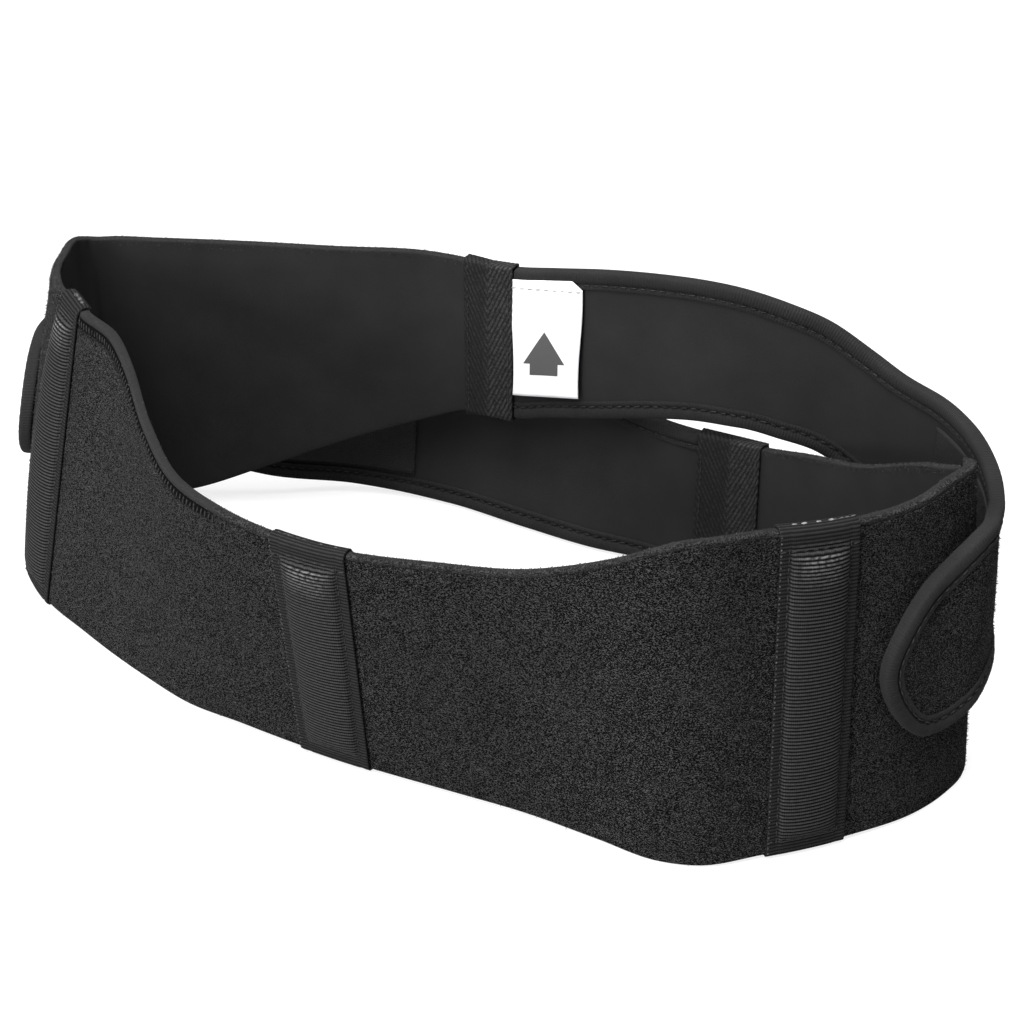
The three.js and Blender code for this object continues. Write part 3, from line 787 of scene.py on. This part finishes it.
# Band: brushed nap outside, knit lining inside that rolls over the top edge into a napped rim
bandCloth = {"nap": 1.75, "gap": 0.15, "lining": 1.75, "rim": 2.0, "column": 3.0, "row": 2.4, "joint": 0.25}
bandThick = bandCloth["nap"] + bandCloth["gap"] + bandCloth["lining"]
overlock = {
    "start": -147.0, "end": -30.0, "pitch": 1.9, "length": 2.9, "width": 0.6, "height": 0.5,
    "below": 1.5, "proud": 0.15, "ground": 3.3, "turn": 1.35, "fadeIn": 3, "fadeOut": 12,
}


def underOverlock(u):  # 1 where the overlock thread runs, 0 elsewhere
    along = u - bandCentre
    begun = smoothstep(overlock["start"] - overlock["fadeIn"], overlock["start"], along)
    return begun * smoothstep(overlock["end"], overlock["end"] - overlock["fadeOut"], along)


# Where the lining folds inside the left corner
cornerCrease = {"along": -247.5, "width": 1.5, "depth": 0.8, "reach": 4.0, "step": 0.5}


def creaseDepth(u):
    away = (u - bandCentre - cornerCrease["along"]) / cornerCrease["width"]
    return cornerCrease["depth"] * np.exp(-(away**2))


def makeBandLayer(name, fromDepth, toDepth, below, rounding, roll, crease, material, rows):
    u = steps(bandCloth["joint"], bandWall.length - bandCloth["joint"], bandCloth["column"])
    corner = bandCentre + cornerCrease["along"]
    reach = cornerCrease["reach"]
    u = np.unique(np.concatenate([u, steps(corner - reach, corner + reach, cornerCrease["step"])]))
    foot, head = bandWall.edges(u)
    head = head - below
    z, ease = edgeRows(foot, head, (toDepth - fromDepth) * rounding, bandCloth["row"], rows)
    low = (head - bandCloth["rim"])[:, None]
    outer = bandWall.point(u[:, None], z, fromDepth + ease - roll * smoothstep(low, low + 0.3, z))
    inner = bandWall.point(u[:, None], z, toDepth - ease - crease * creaseDepth(u)[:, None])
    ground = smoothstep(overlock["ground"] + 0.4, overlock["ground"] - 0.4, head[:, None] - z)
    bare = 1 - 0.95 * ground * underOverlock(u)[:, None]
    sheet = makeSheet(name, outer, inner, (u[:, None] - bandCentre, z), material, relief=bare)
    return sheet, u, z, np.trapz(head - foot, u)


rimRows = [bandCloth["rim"] - rise for rise in (0, 0.15, 0.3, 0.8)]
bandFace, bandU, bandZ, bandArea = makeBandLayer(
    "bandFace", 0, bandCloth["nap"], bandCloth["rim"] - 0.1, 0.12, 0, 0, "nap", [overlock["ground"]]
)
liningStart = bandCloth["nap"] + bandCloth["gap"]
bandLining, liningU, liningZ, _ = makeBandLayer(
    "bandLining", liningStart, bandThick, 0, 0.42, liningStart - 0.2, 1, "bandKnit", rimRows
)
print("band:", len(bandFace.data.polygons) + len(bandLining.data.polygons), "faces")

# Short fibres all over the nap, thicker along the upper edge, but clear of the floor and of the overlock
napFibre = {
    "density": 0.65, "length": 0.85, "width": 0.22, "lay": 2.0, "floor": 2.8, "edge": 8.0, "edgeReach": 2.4,
}


def napAmount(z, sewn):
    below = z[:, -1:] - z
    amount = 1 + (napFibre["edge"] - 1) * smoothstep(napFibre["edgeReach"], 0, below)
    held = sewn * smoothstep(overlock["ground"] + 0.4, overlock["ground"], below)
    amount *= (z > napFibre["floor"]) * (1 - held)
    return np.concatenate([amount.ravel(), np.zeros(amount.size)])


bandNap = napAmount(bandZ, underOverlock(bandU)[:, None])
bandFibres = makeFibres("bandFibres", bandFace, bandNap, napFibre, seed=11)

# The rim's own fuzz, finer than the nap, and sparse where the overlock holds it down
rimFibre = {"density": 3.0, "length": 0.55, "width": 0.16, "lay": 1.7, "reach": 2.2}


def growRimFibres():
    nearTop = liningZ > liningZ[:, -1:] - rimFibre["reach"]
    fuzz = (nearTop * (1 - 0.8 * underOverlock(liningU)[:, None])).ravel()
    return makeFibres("rimFibres", bandLining, np.concatenate([fuzz, fuzz]), rimFibre, seed=12)


rimFibres = growRimFibres()
print("band fibres:", len(bandFibres.data.polygons) + len(rimFibres.data.polygons), "faces")


def makeOverlock():  # thread where the nap meets the rim, down the left of the scoop
    u = bandCentre + steps(overlock["start"], overlock["end"], 1.0)
    z = bandWall.edges(u)[1] - bandCloth["rim"] - overlock["below"]
    lines = [seamLine(bandWall, u, z, -overlock["proud"])]
    sizes = [overlock[key] for key in ("pitch", "length", "width", "height", "turn")]
    return makeStitches("overlockStitches", lines, "darkThread", *sizes)


rimStitches = makeOverlock()

# Stay ribbons: ribbed, wrapped over both edges of the band, with a soft bulge over the stay inside
stayRibbon = {
    "width": 26.0, "thick": 0.7, "gap": 0.35, "tuck": 5.0, "corner": 2.6, "pitch": 1.2, "rowsPerRib": 4,
    "margin": 3.4, "bulge": 2.2, "end": 5.5, "groove": 0.3, "topRow": 5.6, "footRow": 5.2,
    "ribHeight": 0.46, "stitch": 3.0, "pinch": 0.5, "plain": 0.4, "columns": 33, "selvedge": 0.25,
    "follow": 8.0, "past": 4.0,
}
ribbonPlaces = {"left": -162.0, "centre": 0.0, "right": 161.5}


# How full the ribbon lies over its stay, 0 to 1: rounded across, with rounded ends that the stitches pinch
def ribbonFullness(across, z, foot, head):
    half = stayRibbon["width"] / 2 - stayRibbon["margin"]
    side = np.clip(1 - np.abs(across / half) ** 2.2, 0, 1) ** 0.6
    pinch = stayRibbon["pinch"] * np.abs(np.sin(across * math.pi / stayRibbon["stitch"]))
    fromTop = head - stayRibbon["topRow"] - pinch - z
    fromFoot = z - foot - stayRibbon["footRow"] - pinch
    ends = [np.clip(distance / stayRibbon["end"], 0, 1) for distance in (fromTop, fromFoot)]
    return side * np.prod([(1 - (1 - end) ** 2) ** 0.6 for end in ends], axis=0)


def ribbonSeam(across):  # the groove that each row of stitches draws in
    half = stayRibbon["width"] / 2 - stayRibbon["margin"]
    return stayRibbon["groove"] * np.exp(-(((np.abs(across) - half - 0.5) / 0.5) ** 2))


def makeRibbon(place, along):
    half = stayRibbon["width"] / 2
    border = half - stayRibbon["selvedge"]
    across = np.unique([*np.linspace(-half, half, stayRibbon["columns"]), -border, border])
    u = bandCentre + along + across
    foot, head = bandWall.edges(u)
    lowRef, highRef = foot.mean(), head.mean()
    tuck, follow, past = (stayRibbon[key] for key in ("tuck", "follow", "past"))
    grids, count = [], None
    for away in (stayRibbon["gap"] + stayRibbon["thick"], stayRibbon["gap"]):
        deep = bandThick + away
        corners = [(lowRef + tuck, deep), (lowRef - away, deep), (lowRef - away, -away)]
        corners += [(highRef + away, -away), (highRef + away, deep), (highRef - tuck, deep)]
        if count is None:
            length = roundedLine(corners, stayRibbon["corner"])[1]
            count = round(length / stayRibbon["pitch"] * stayRibbon["rowsPerRib"])
        line, _ = roundedLine(corners, stayRibbon["corner"], count)
        known, *own = (
            [low - past, low + follow, high - follow, high + past]
            for low, high in zip([lowRef, *foot], [highRef, *head])
        )
        z = np.stack([np.interp(line[:, 0], known, heights) for heights in own])
        outside = smoothstep(0.2, -0.2, line[:, 1])[None]
        full = ribbonFullness(across[:, None], z, foot[:, None], head[:, None])
        bulge = (stayRibbon["bulge"] * full - ribbonSeam(across[:, None])) * outside
        grids.append(bandWall.point(u[:, None], z, line[None, :, 1] - bulge))
    flat = (across[:, None], np.linspace(length, 0, count)[None])
    relief = stayRibbon["plain"] + (1 - stayRibbon["plain"]) * smoothstep(0, 0.25, full * outside)
    name = "stayRibbon" + place.capitalize()
    ribbon = makeSheet(name, *grids, flat, "ribbon", relief=relief)
    addRelief(ribbon, stayRibbon["pitch"], stayRibbon["ribHeight"], 0.0, "ribbon")
    return ribbon, length


def ribbonStitches(place, along):
    half = stayRibbon["width"] / 2
    proud = -(stayRibbon["gap"] + stayRibbon["thick"] + 0.25)
    acrossPoints, upPoints = 25, 40
    u = bandCentre + along + np.linspace(-half + 1, half - 1, acrossPoints)
    foot, head = bandWall.edges(u)
    rows = (head - stayRibbon["topRow"], foot + stayRibbon["footRow"])
    lines = [seamLine(bandWall, u, z, proud) for z in rows]
    for side in (-1, 1):
        at = np.full(upPoints, bandCentre + along + side * (half - stayRibbon["margin"] + 0.5))
        low, high = bandWall.edges(at[0])
        z = np.linspace(low + stayRibbon["footRow"], high - stayRibbon["topRow"], upPoints)
        lines.append(seamLine(bandWall, at, z, proud + 0.2))
    name = "ribbonStitches" + place.capitalize()
    return makeStitches(name, lines, "thread", stayRibbon["stitch"], 2.2, *seamThread)


# Frayed threads over the ribbon's fold: tufts at places across it, and a loose strand along a part of it.
# On the right ribbon the pale strand is partly a painted highlight, where the fold's last rib catches the
# light
ribbonFray = {
    "left": {
        "tufts": (-2.5, 2.0, 6.5), "size": (3.2, 1.9, 1.5),
        "strand": (-9.0, 9.0), "thread": "greyThread",
    },
    "centre": {
        "tufts": (-7.5, 4.0, 9.0), "size": (1.6, 0.6, 0.6),
        "strand": (-11.0, -2.0), "thread": "greyThread",
    },
    # Right ribbon: pale frayed tufts, and a pale strand that is partly a painted highlight along the fold
    "right": {
        "tufts": (-7.5, -4.3, 0.5, 4.6), "size": (2.2, 1.1, 0.8),
        "strand": (5.8, 12.4), "thread": "frayAndGlintThread",
    },
}


def foldLine(along, across):
    u = bandCentre + along + across
    top = bandWall.edges(u)[1] + stayRibbon["gap"] + stayRibbon["thick"]
    return bandWall.point(u, top, bandThick * 0.6), np.tile([0.0, 0.0, 1.0], (len(u), 1))


def ribbonTufts(place, along, seed):
    fray = ribbonFray[place]
    lines = [foldLine(along, np.array([at, at + 1.0])) for at in fray["tufts"]]
    tuftApart = 5.0  # longer than a line, so that each holds one tuft
    name = "ribbonTufts" + place.capitalize()
    return makeStitches(name, lines, fray["thread"], tuftApart, *fray["size"], seed=seed)


def ribbonStrand(place, along, seed):
    fray = ribbonFray[place]
    strandPoints = 12
    lines = [foldLine(along, np.linspace(*fray["strand"], strandPoints))]
    name = "ribbonStrand" + place.capitalize()
    return makeStitches(name, lines, fray["thread"], 1.9, 2.3, 0.3, 0.5, turn=0.12, seed=seed)


# Selvedge: grey picks along the edge where the weft turns back. The picks are real, but they are put on the
# left edge only, the edge that faces the light, so they are partly painted light
def ribbonSelvedge(place, along, seed):
    half = stayRibbon["width"] / 2
    proud = -(stayRibbon["gap"] + stayRibbon["thick"] + 0.15)
    upPoints = 60
    at = np.full(upPoints, bandCentre + along - half + 0.3)
    low, high = bandWall.edges(at)
    z = low + 1 + (high - low - 2) * np.linspace(0, 1, upPoints)
    lines = [seamLine(bandWall, at, z, proud)]
    name = "ribbonSelvedge" + place.capitalize()
    return makeStitches(name, lines, "greyThread", stayRibbon["pitch"] * 1.6, 0.7, 0.6, 0.4, seed=seed)


ribbonSeeds = {"left": 21, "centre": 22, "right": 23}
for place, along in ribbonPlaces.items():
    ribbon, length = makeRibbon(place, along)
    threads = [ribbonStitches(place, along)]
    for makeThreads in (ribbonTufts, ribbonStrand, ribbonSelvedge):
        threads.append(makeThreads(place, along, ribbonSeeds[place]))
    addToPart(ribbon, "ribbon", "stay_ribbon_" + place)
    for thread in threads:
        addToPart(thread, "ribbon")
    area = stayRibbon["width"] * length
    declareSheet(ribbon, stayRibbon["width"], length, area, "stretched", [bandFace], threads)
print("stay ribbons made:", len(ribbonPlaces))

# Joint tapes: herringbone sleeves over the butted ends of band and strap
jointTape = {"thick": 0.8, "gap": 0.3, "corner": 1.3, "step": 0.6, "relief": 0.2, "stitchIn": 1.6}
tapeWidth = {"left": 20.0, "right": 26.0}


def tapeColumns(place):
    half = tapeWidth[place] / 2
    if place == "left":
        before, after = (upperWall, upperWall.length), (bandWall, 0.0)
    else:
        before, after = (bandWall, bandWall.length), (lowerWall, 0.0)
    across = steps(-half, half, jointTape["step"])
    return across, [(*before, x) if x < 0 else (*after, x) for x in across]


def makeTape(place):
    across, columns = tapeColumns(place)
    grids, flatRow = [], None
    for away in (jointTape["gap"] + jointTape["thick"], jointTape["gap"]):
        grid = []
        for wall, joint, x in columns:
            low, high = (float(edge) for edge in wall.edges(joint + x))
            deep, middle = bandThick + away, (low + high) / 2
            corners = [(middle, -away), (high + away, -away), (high + away, deep)]
            corners += [(low - away, deep), (low - away, -away), (middle, -away)]
            if flatRow is None:
                length = roundedLine(corners, jointTape["corner"])[1]
                count = round(length / jointTape["step"])
                flatRow = np.linspace(0, length, count + 1)[:-1]
            line = roundedLine(corners, jointTape["corner"], count + 1)[0][:-1]
            grid.append(wall.point(joint + x, line[:, 0], line[:, 1]))
        grids.append(np.array(grid))
    flat = (across[:, None], flatRow[None])
    tape = makeSheet("jointTape" + place.capitalize(), *grids, flat, "tape", looped=True)
    addRelief(tape, tapeFinish["pitch"], jointTape["relief"], tapeFinish["slope"], "tape")
    return tape, length


def tapeStitches(place):
    _, columns = tapeColumns(place)
    half = tapeWidth[place] / 2
    away = jointTape["gap"] + jointTape["thick"] + 0.2
    upPoints = 40
    lines = []
    for wall, joint, x in (columns[0], columns[-1]):
        u = np.full(upPoints, joint + math.copysign(half - jointTape["stitchIn"], x))
        low, high = wall.edges(u)
        z = low + (high - low) * np.linspace(0.03, 0.97, upPoints)
        lines.append(seamLine(wall, u, z, -away))
        lines.append(seamLine(wall, u, z, bandThick + away, -1))
    return makeStitches("tapeStitches" + place.capitalize(), lines, "thread", 2.9, 2.1, *seamThread)


for place in tapeWidth:
    tape, length = makeTape(place)
    sewing = tapeStitches(place)
    addToPart(tape, "tape", "joint_tape_" + place)
    addToPart(sewing, "tape")
    declareSheet(tape, tapeWidth[place], length, tapeWidth[place] * length, "folded", [bandFace], [sewing])
print("joint tapes made:", len(tapeWidth))

# Straps: nap outside, knit inside, edges bound; each ends in a rounded tab
strapCloth = {
    "nap": 1.3, "gap": 0.15, "lining": 1.35, "tabRound": 30.0, "tabColumns": 18, "step": 2.0, "rows": 25,
    "inset": 1.1,
}
strapThick = strapCloth["nap"] + strapCloth["gap"] + strapCloth["lining"]


class Strap:
    def __init__(self, name, wall, tipAtStart, tape, patchLength):
        self.name, self.wall, self.tipAtStart = name, wall, tipAtStart
        self.length, self.tape, self.patchLength = wall.length, tape, patchLength

    def along(self, fromTip):
        return fromTip if self.tipAtStart else self.length - fromTip

    def edges(self, fromTip, inset):
        foot, head = self.wall.edges(self.along(fromTip))
        rounded = strapCloth["tabRound"]
        short = np.clip((rounded - fromTip) / (rounded - inset), 0, 1)
        half = ((head - foot) / 2 - inset) * np.sqrt(1 - short**2)
        return (head + foot) / 2 - half, (head + foot) / 2 + half

    def places(self, inset, end):
        reach = strapCloth["tabRound"] - inset
        angle = np.linspace(0, math.pi / 2, strapCloth["tabColumns"])
        tab = strapCloth["tabRound"] - reach * np.cos(angle)
        tab[0] += 0.2
        return np.concatenate([tab, steps(strapCloth["tabRound"], end, strapCloth["step"])[1:]])


upperStrap = Strap("Upper", upperWall, True, "left", 128.0)
lowerStrap = Strap("Lower", lowerWall, False, "right", 190.0)


def makeStrapSheet(name, strap, fromDepth, toDepth, inset, end, material):
    place = strap.places(inset, end)
    if not strap.tipAtStart:
        place = place[::-1]
    low, high = strap.edges(place, inset)
    z = low[:, None] + (high - low)[:, None] * np.linspace(0, 1, strapCloth["rows"])
    u = strap.along(place)
    grids = [strap.wall.point(u[:, None], z, depth) for depth in (fromDepth, toDepth)]
    sheet = makeSheet(name, *grids, (u[:, None], z), material)
    return sheet, z, abs(np.trapz(high - low, u))


# Binding: a tape folded round the strap's edge into a soft roll, stitched down, its raw edge lying flat
edgeBinding = {
    "roll": 4.5, "width": 7.0, "proud": 1.2, "flange": 0.7, "thick": 0.4, "tapeGap": 0.5, "step": 1.2,
    "tabStep": 0.45, "tabEnd": 75, "tabColumns": 90, "pucker": 0.1, "puckerPitch": 1.1, "puckerFull": 45,
    "puckerEnd": 85, "stitchPitch": 3.7, "stitchLength": 2.9, "archPoints": 10,
}


def bindingOutline(strap):
    end = strap.length - tapeWidth[strap.tape] / 2 - edgeBinding["tapeGap"]
    angle = np.linspace(0, math.pi / 2, edgeBinding["tabColumns"])
    tab = strapCloth["tabRound"] * (1 - np.cos(angle))
    near = steps(strapCloth["tabRound"], edgeBinding["tabEnd"], edgeBinding["tabStep"])[1:]
    place = np.concatenate([tab, near, steps(edgeBinding["tabEnd"], end, edgeBinding["step"])[1:]])
    low, high = strap.edges(place, 0)
    first, second = (low, high) if strap.tipAtStart else (high, low)
    u = strap.along(place)
    line = np.vstack([np.stack([u, first], -1)[::-1], np.stack([u, second], -1)[1:]])
    ahead = np.gradient(line, axis=0)
    ahead[[0, -1], 1] = 0
    ahead /= np.linalg.norm(ahead, axis=1, keepdims=True)
    into = np.stack([ahead[:, 1], -ahead[:, 0]], -1)
    fromTip = np.concatenate([place[::-1], place[1:]])
    return line, into, fromTip, travelled(line)


def bindingSection(lift):
    roll, width, proud, flange = (edgeBinding[key] for key in ("roll", "width", "proud", "flange"))
    t = np.linspace(0, 1, edgeBinding["archPoints"])
    arch = np.stack([roll * (1 - np.cos(t * math.pi)) / 2, -proud * np.sin(t * math.pi) ** 0.75], -1)
    arch[:, 1] = np.where(t < 0.5, arch[:, 1] * (1 - (1 - 2 * t) ** 2) ** 0.2, arch[:, 1])
    groove = [(roll + 0.1, -0.1), (roll + 0.4, -0.06)]
    flat = np.array([*groove, (roll + 0.7, -flange), (width - 0.25, -flange), (width, -flange + 0.25)])
    side = np.vstack([arch[1:-1], flat])
    side[:, 1] += lift
    inner = side.copy()
    inner[:, 1] = strapThick - inner[:, 1]
    edge = np.array([(lift * 0.8, strapThick * share) for share in (0.15, 0.5, 0.85)])
    return np.vstack([side[::-1], edge, inner])


def makeBinding(strap):
    line, into, fromTip, length = bindingOutline(strap)
    nearTab = smoothstep(edgeBinding["puckerEnd"], edgeBinding["puckerFull"], fromTip)
    pucker = edgeBinding["pucker"] * np.sin(length * math.tau / edgeBinding["puckerPitch"]) * nearTab
    scallop = 0.1 * np.abs(np.sin(length * math.pi / edgeBinding["stitchPitch"])) - 0.05
    grids = []
    for lift in (0.0, edgeBinding["thick"]):
        section = bindingSection(lift)
        inset, depth = section[None, :, 0], section[None, :, 1]
        onRoll = np.exp(-(((inset - edgeBinding["roll"] / 2) / (edgeBinding["roll"] / 2.4)) ** 2))
        rough = (pucker + scallop)[:, None] * onRoll * np.sign(depth - strapThick / 2)
        u = line[:, :1] + into[:, :1] * inset
        z = line[:, 1:] + into[:, 1:] * inset
        grids.append(strap.wall.point(u, z, depth + rough))
    around = travelled(bindingSection(0.0))
    piece = makeSheet("binding" + strap.name, *grids, (length[:, None], around[None]), "edging")
    return piece, around[-1], length[-1]


def bindingStitches(strap):
    line, into, _, _ = bindingOutline(strap)
    inset = edgeBinding["roll"] + 0.55
    u, z = (line + into * inset).T
    proud = edgeBinding["flange"] + 0.12
    lines = [seamLine(strap.wall, u, z, -proud), seamLine(strap.wall, u, z, strapThick + proud, -1)]
    sizes = (edgeBinding["stitchPitch"], edgeBinding["stitchLength"], *seamThread)
    return makeStitches("bindingStitches" + strap.name, lines, "thread", *sizes)


hookPatch = {
    "thick": 0.7, "gap": 0.25, "inset": 8.9, "density": 0.8, "length": 0.5, "width": 0.3, "lay": 0.25,
}

for strap in (upperStrap, lowerStrap):
    lowName = strap.name.lower()
    cut = (strapCloth["inset"], strap.length - bandCloth["joint"])
    face, z, area = makeStrapSheet("strapFace" + strap.name, strap, 0, strapCloth["nap"], *cut, "nap")
    inside = strapCloth["nap"] + strapCloth["gap"]
    lining = makeStrapSheet("strapLining" + strap.name, strap, inside, strapThick, *cut, "strapKnit")[0]
    nap = np.repeat([1, 0], z.size)
    fibres = makeFibres("strapFibres" + strap.name, face, nap, napFibre, seed=31)
    binding, bindWidth, bindLength = makeBinding(strap)
    sewing = bindingStitches(strap)
    depth = strapThick + hookPatch["gap"]
    patch, patchZ, patchArea = makeStrapSheet(
        "hookPatch" + strap.name, strap, depth, depth + hookPatch["thick"], hookPatch["inset"],
        strap.patchLength, "hooks",
    )
    bare = np.repeat([0, 1], patchZ.size)
    hooks = makeFibres("hooks" + strap.name, patch, bare, hookPatch, seed=41, material="hooks")
    addToPart(face, "pile", f"strap_{lowName}_face")
    addToPart(fibres, "pile")
    addToPart(lining, "knit", f"strap_{lowName}_lining")
    addToPart(binding, "edging", f"binding_{lowName}")
    addToPart(sewing, "edging")
    addToPart(patch, "hooks", f"hook_patch_{lowName}")
    addToPart(hooks, "hooks")
    width = float(np.max(z[:, -1] - z[:, 0]))
    declareSheet(face, width, strap.length, area, "stretched", [bandFace], [fibres])
    declareSheet(lining, width, strap.length, area, "stretched", [face])
    declareSheet(binding, bindWidth, bindLength, bindWidth * bindLength, "folded", [face], [sewing])
    patchWidth = float(np.max(patchZ[:, -1] - patchZ[:, 0]))
    declareSheet(patch, patchWidth, strap.patchLength, patchArea, "laid", [lining], [hooks])
    print("strap", lowName, "made:", len(binding.data.polygons), "binding faces")

addToPart(bandFace, "pile", "band_face")
addToPart(bandFibres, "pile")
addToPart(rimFibres, "knit")
addToPart(rimStitches, "pile")
addToPart(bandLining, "knit", "band_lining")
bandHeight = float(np.max(bandZ[:, -1] - bandZ[:, 0]))
declareSheet(bandFace, bandHeight, bandWall.length, bandArea, "stretched", [], [bandFibres, rimStitches])
declareSheet(bandLining, bandHeight, bandWall.length, bandArea, "stretched", [bandFace], [rimFibres])

# Label: white satin, sewn along its top onto the upper strap's inside, one top corner folded away
sewnLabel = {
    "width": 28.0, "length": 46.5, "thick": 0.35, "below": 3.4, "fromTape": 0.4, "corner": 4.2, "bow": 0.7,
    "columns": 29, "rows": 48, "lift": 0.35, "stitchPoints": 30, "stitchBelow": 3.6,
}


def labelShape(across, up):
    width, length = sewnLabel["width"], sewnLabel["length"]
    bow = sewnLabel["bow"] * np.sin(up / length * math.pi * 1.6 + 0.5)
    return across + bow * np.where(across > 0, -0.6, 0.9) * np.abs(across) / width * 2


def makeLabel():
    width, length = sewnLabel["width"], sewnLabel["length"]
    right = upperWall.length - tapeWidth["left"] / 2 - sewnLabel["fromTape"]
    across = np.linspace(-width / 2, width / 2, sewnLabel["columns"])
    up = np.linspace(0, length, sewnLabel["rows"])
    x = labelShape(across[:, None], up[None])
    u = right - width / 2 - x  # seen from inside, across runs to the right
    cut = np.maximum(0, across - (width / 2 - sewnLabel["corner"]))[:, None] * 0.85
    top = upperWall.edges(u)[1] - sewnLabel["below"]
    v = up[None] * (1 - cut / length)
    z = top - length + v
    curl = 0.8 * (1 - up / length) ** 2 + 0.25 * np.sin(up / length * 5)
    depth = strapThick + edgeBinding["proud"] + sewnLabel["lift"] + curl[None]
    back = upperWall.point(u, z, depth)
    front = upperWall.point(u, z, depth + sewnLabel["thick"])
    return makeSheet("satinLabel", front, back, (across[:, None], v), "label"), right


def labelStitches(right):
    width = sewnLabel["width"]
    across = np.linspace(-width / 2 + 0.3, width / 2 - 1.2, sewnLabel["stitchPoints"])
    u = right - width / 2 - across
    z = upperWall.edges(u)[1] - sewnLabel["below"] - sewnLabel["stitchBelow"] - 0.04 * across
    depth = strapThick + edgeBinding["proud"] + sewnLabel["lift"] + sewnLabel["thick"] + 0.1
    lines = [seamLine(upperWall, u, z, depth, -1)]
    return makeStitches("labelStitches", lines, "whiteThread", 3.0, 2.0, 0.4, 0.4)


label, labelRight = makeLabel()
labelSewing = labelStitches(labelRight)
addToPart(label, "satin", "label")
addToPart(labelSewing, "satin")
labelCut = (sewnLabel["width"], sewnLabel["length"])
declareSheet(label, *labelCut, labelCut[0] * labelCut[1], "hung", ["bindingUpper"], [labelSewing])
print("label made")

# Studio: white floor, soft light from above and in front, camera as in the photograph
studio = {
    "floorHalf": 4.0, "floorDrop": 0.0003, "floorTone": 0.3, "floorGlow": 0.78, "sky": 0.17,
    "lens": 70.3125, "sensor": 36.0,
}
cameraPlace = {"location": (0.3184, -0.5130, 0.400), "tilt": 60.0, "turn": 30.0}
lamps = {
    "keyLamp": {"location": (-0.25, -1.0, 1.25), "size": 1.0, "power": 19.0},
    "frontLamp": {"location": (-0.2, -1.4, 0.3), "size": 0.5, "power": 16.0},
    "topLamp": {"location": (0.0, -0.1, 1.6), "size": 1.4, "power": 42.0},
}

half = studio["floorHalf"]
floorLevel = cadBox[0][2] - studio["floorDrop"]
plan = [(-half, -half), (half, -half), (half, half), (-half, half)]
floor = newPiece("floor", [(x, y, floorLevel) for x, y in plan], [(0, 1, 2, 3)])
floorPaint, floorTree = newMaterial("floorPaint", 0.9, 0.1)
floorInputs = floorTree.nodes["Principled BSDF"].inputs
floorInputs["Base Color"].default_value = grey(studio["floorTone"])
floorInputs["Emission Color"].default_value = (1, 1, 1, 1)
seen = addNode(floorTree, "ShaderNodeLightPath").outputs["Is Camera Ray"]  # the glow lights nothing else
glow = calc(floorTree, "MULTIPLY", seen, studio["floorGlow"])
floorTree.links.new(glow, floorInputs["Emission Strength"])
floor.data.materials.append(floorPaint)
floor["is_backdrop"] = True

sky = bpy.data.worlds.new("studioSky")
sky.use_nodes = True
skyInputs = sky.node_tree.nodes["Background"].inputs
skyInputs["Color"].default_value = (1, 1, 1, 1)
skyInputs["Strength"].default_value = studio["sky"]
bpy.context.scene.world = sky

centre = np.array([0, 0, 0.05])
for name, lamp in lamps.items():
    light = bpy.data.lights.new(name, "AREA")
    light.energy = lamp["power"]
    light.size = lamp["size"]
    holder = bpy.data.objects.new(name, light)
    bpy.context.scene.collection.objects.link(holder)
    holder.location = lamp["location"]
    towards = centre - np.array(lamp["location"])
    holder.rotation_euler = Vector(towards).to_track_quat("-Z", "Y").to_euler()

camera = bpy.data.objects.new("camera", bpy.data.cameras.new("camera"))
bpy.context.scene.collection.objects.link(camera)
camera.data.lens = studio["lens"]
camera.data.sensor_width = studio["sensor"]
camera.location = cameraPlace["location"]
camera.rotation_euler = (math.radians(cameraPlace["tilt"]), 0, math.radians(cameraPlace["turn"]))
bpy.context.scene.camera = camera
bpy.context.scene.view_settings.view_transform = "Standard"

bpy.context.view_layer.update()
triangles = sum(sum(len(face.vertices) - 2 for face in piece.data.polygons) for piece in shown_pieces())
print("size written, triangles:", triangles)
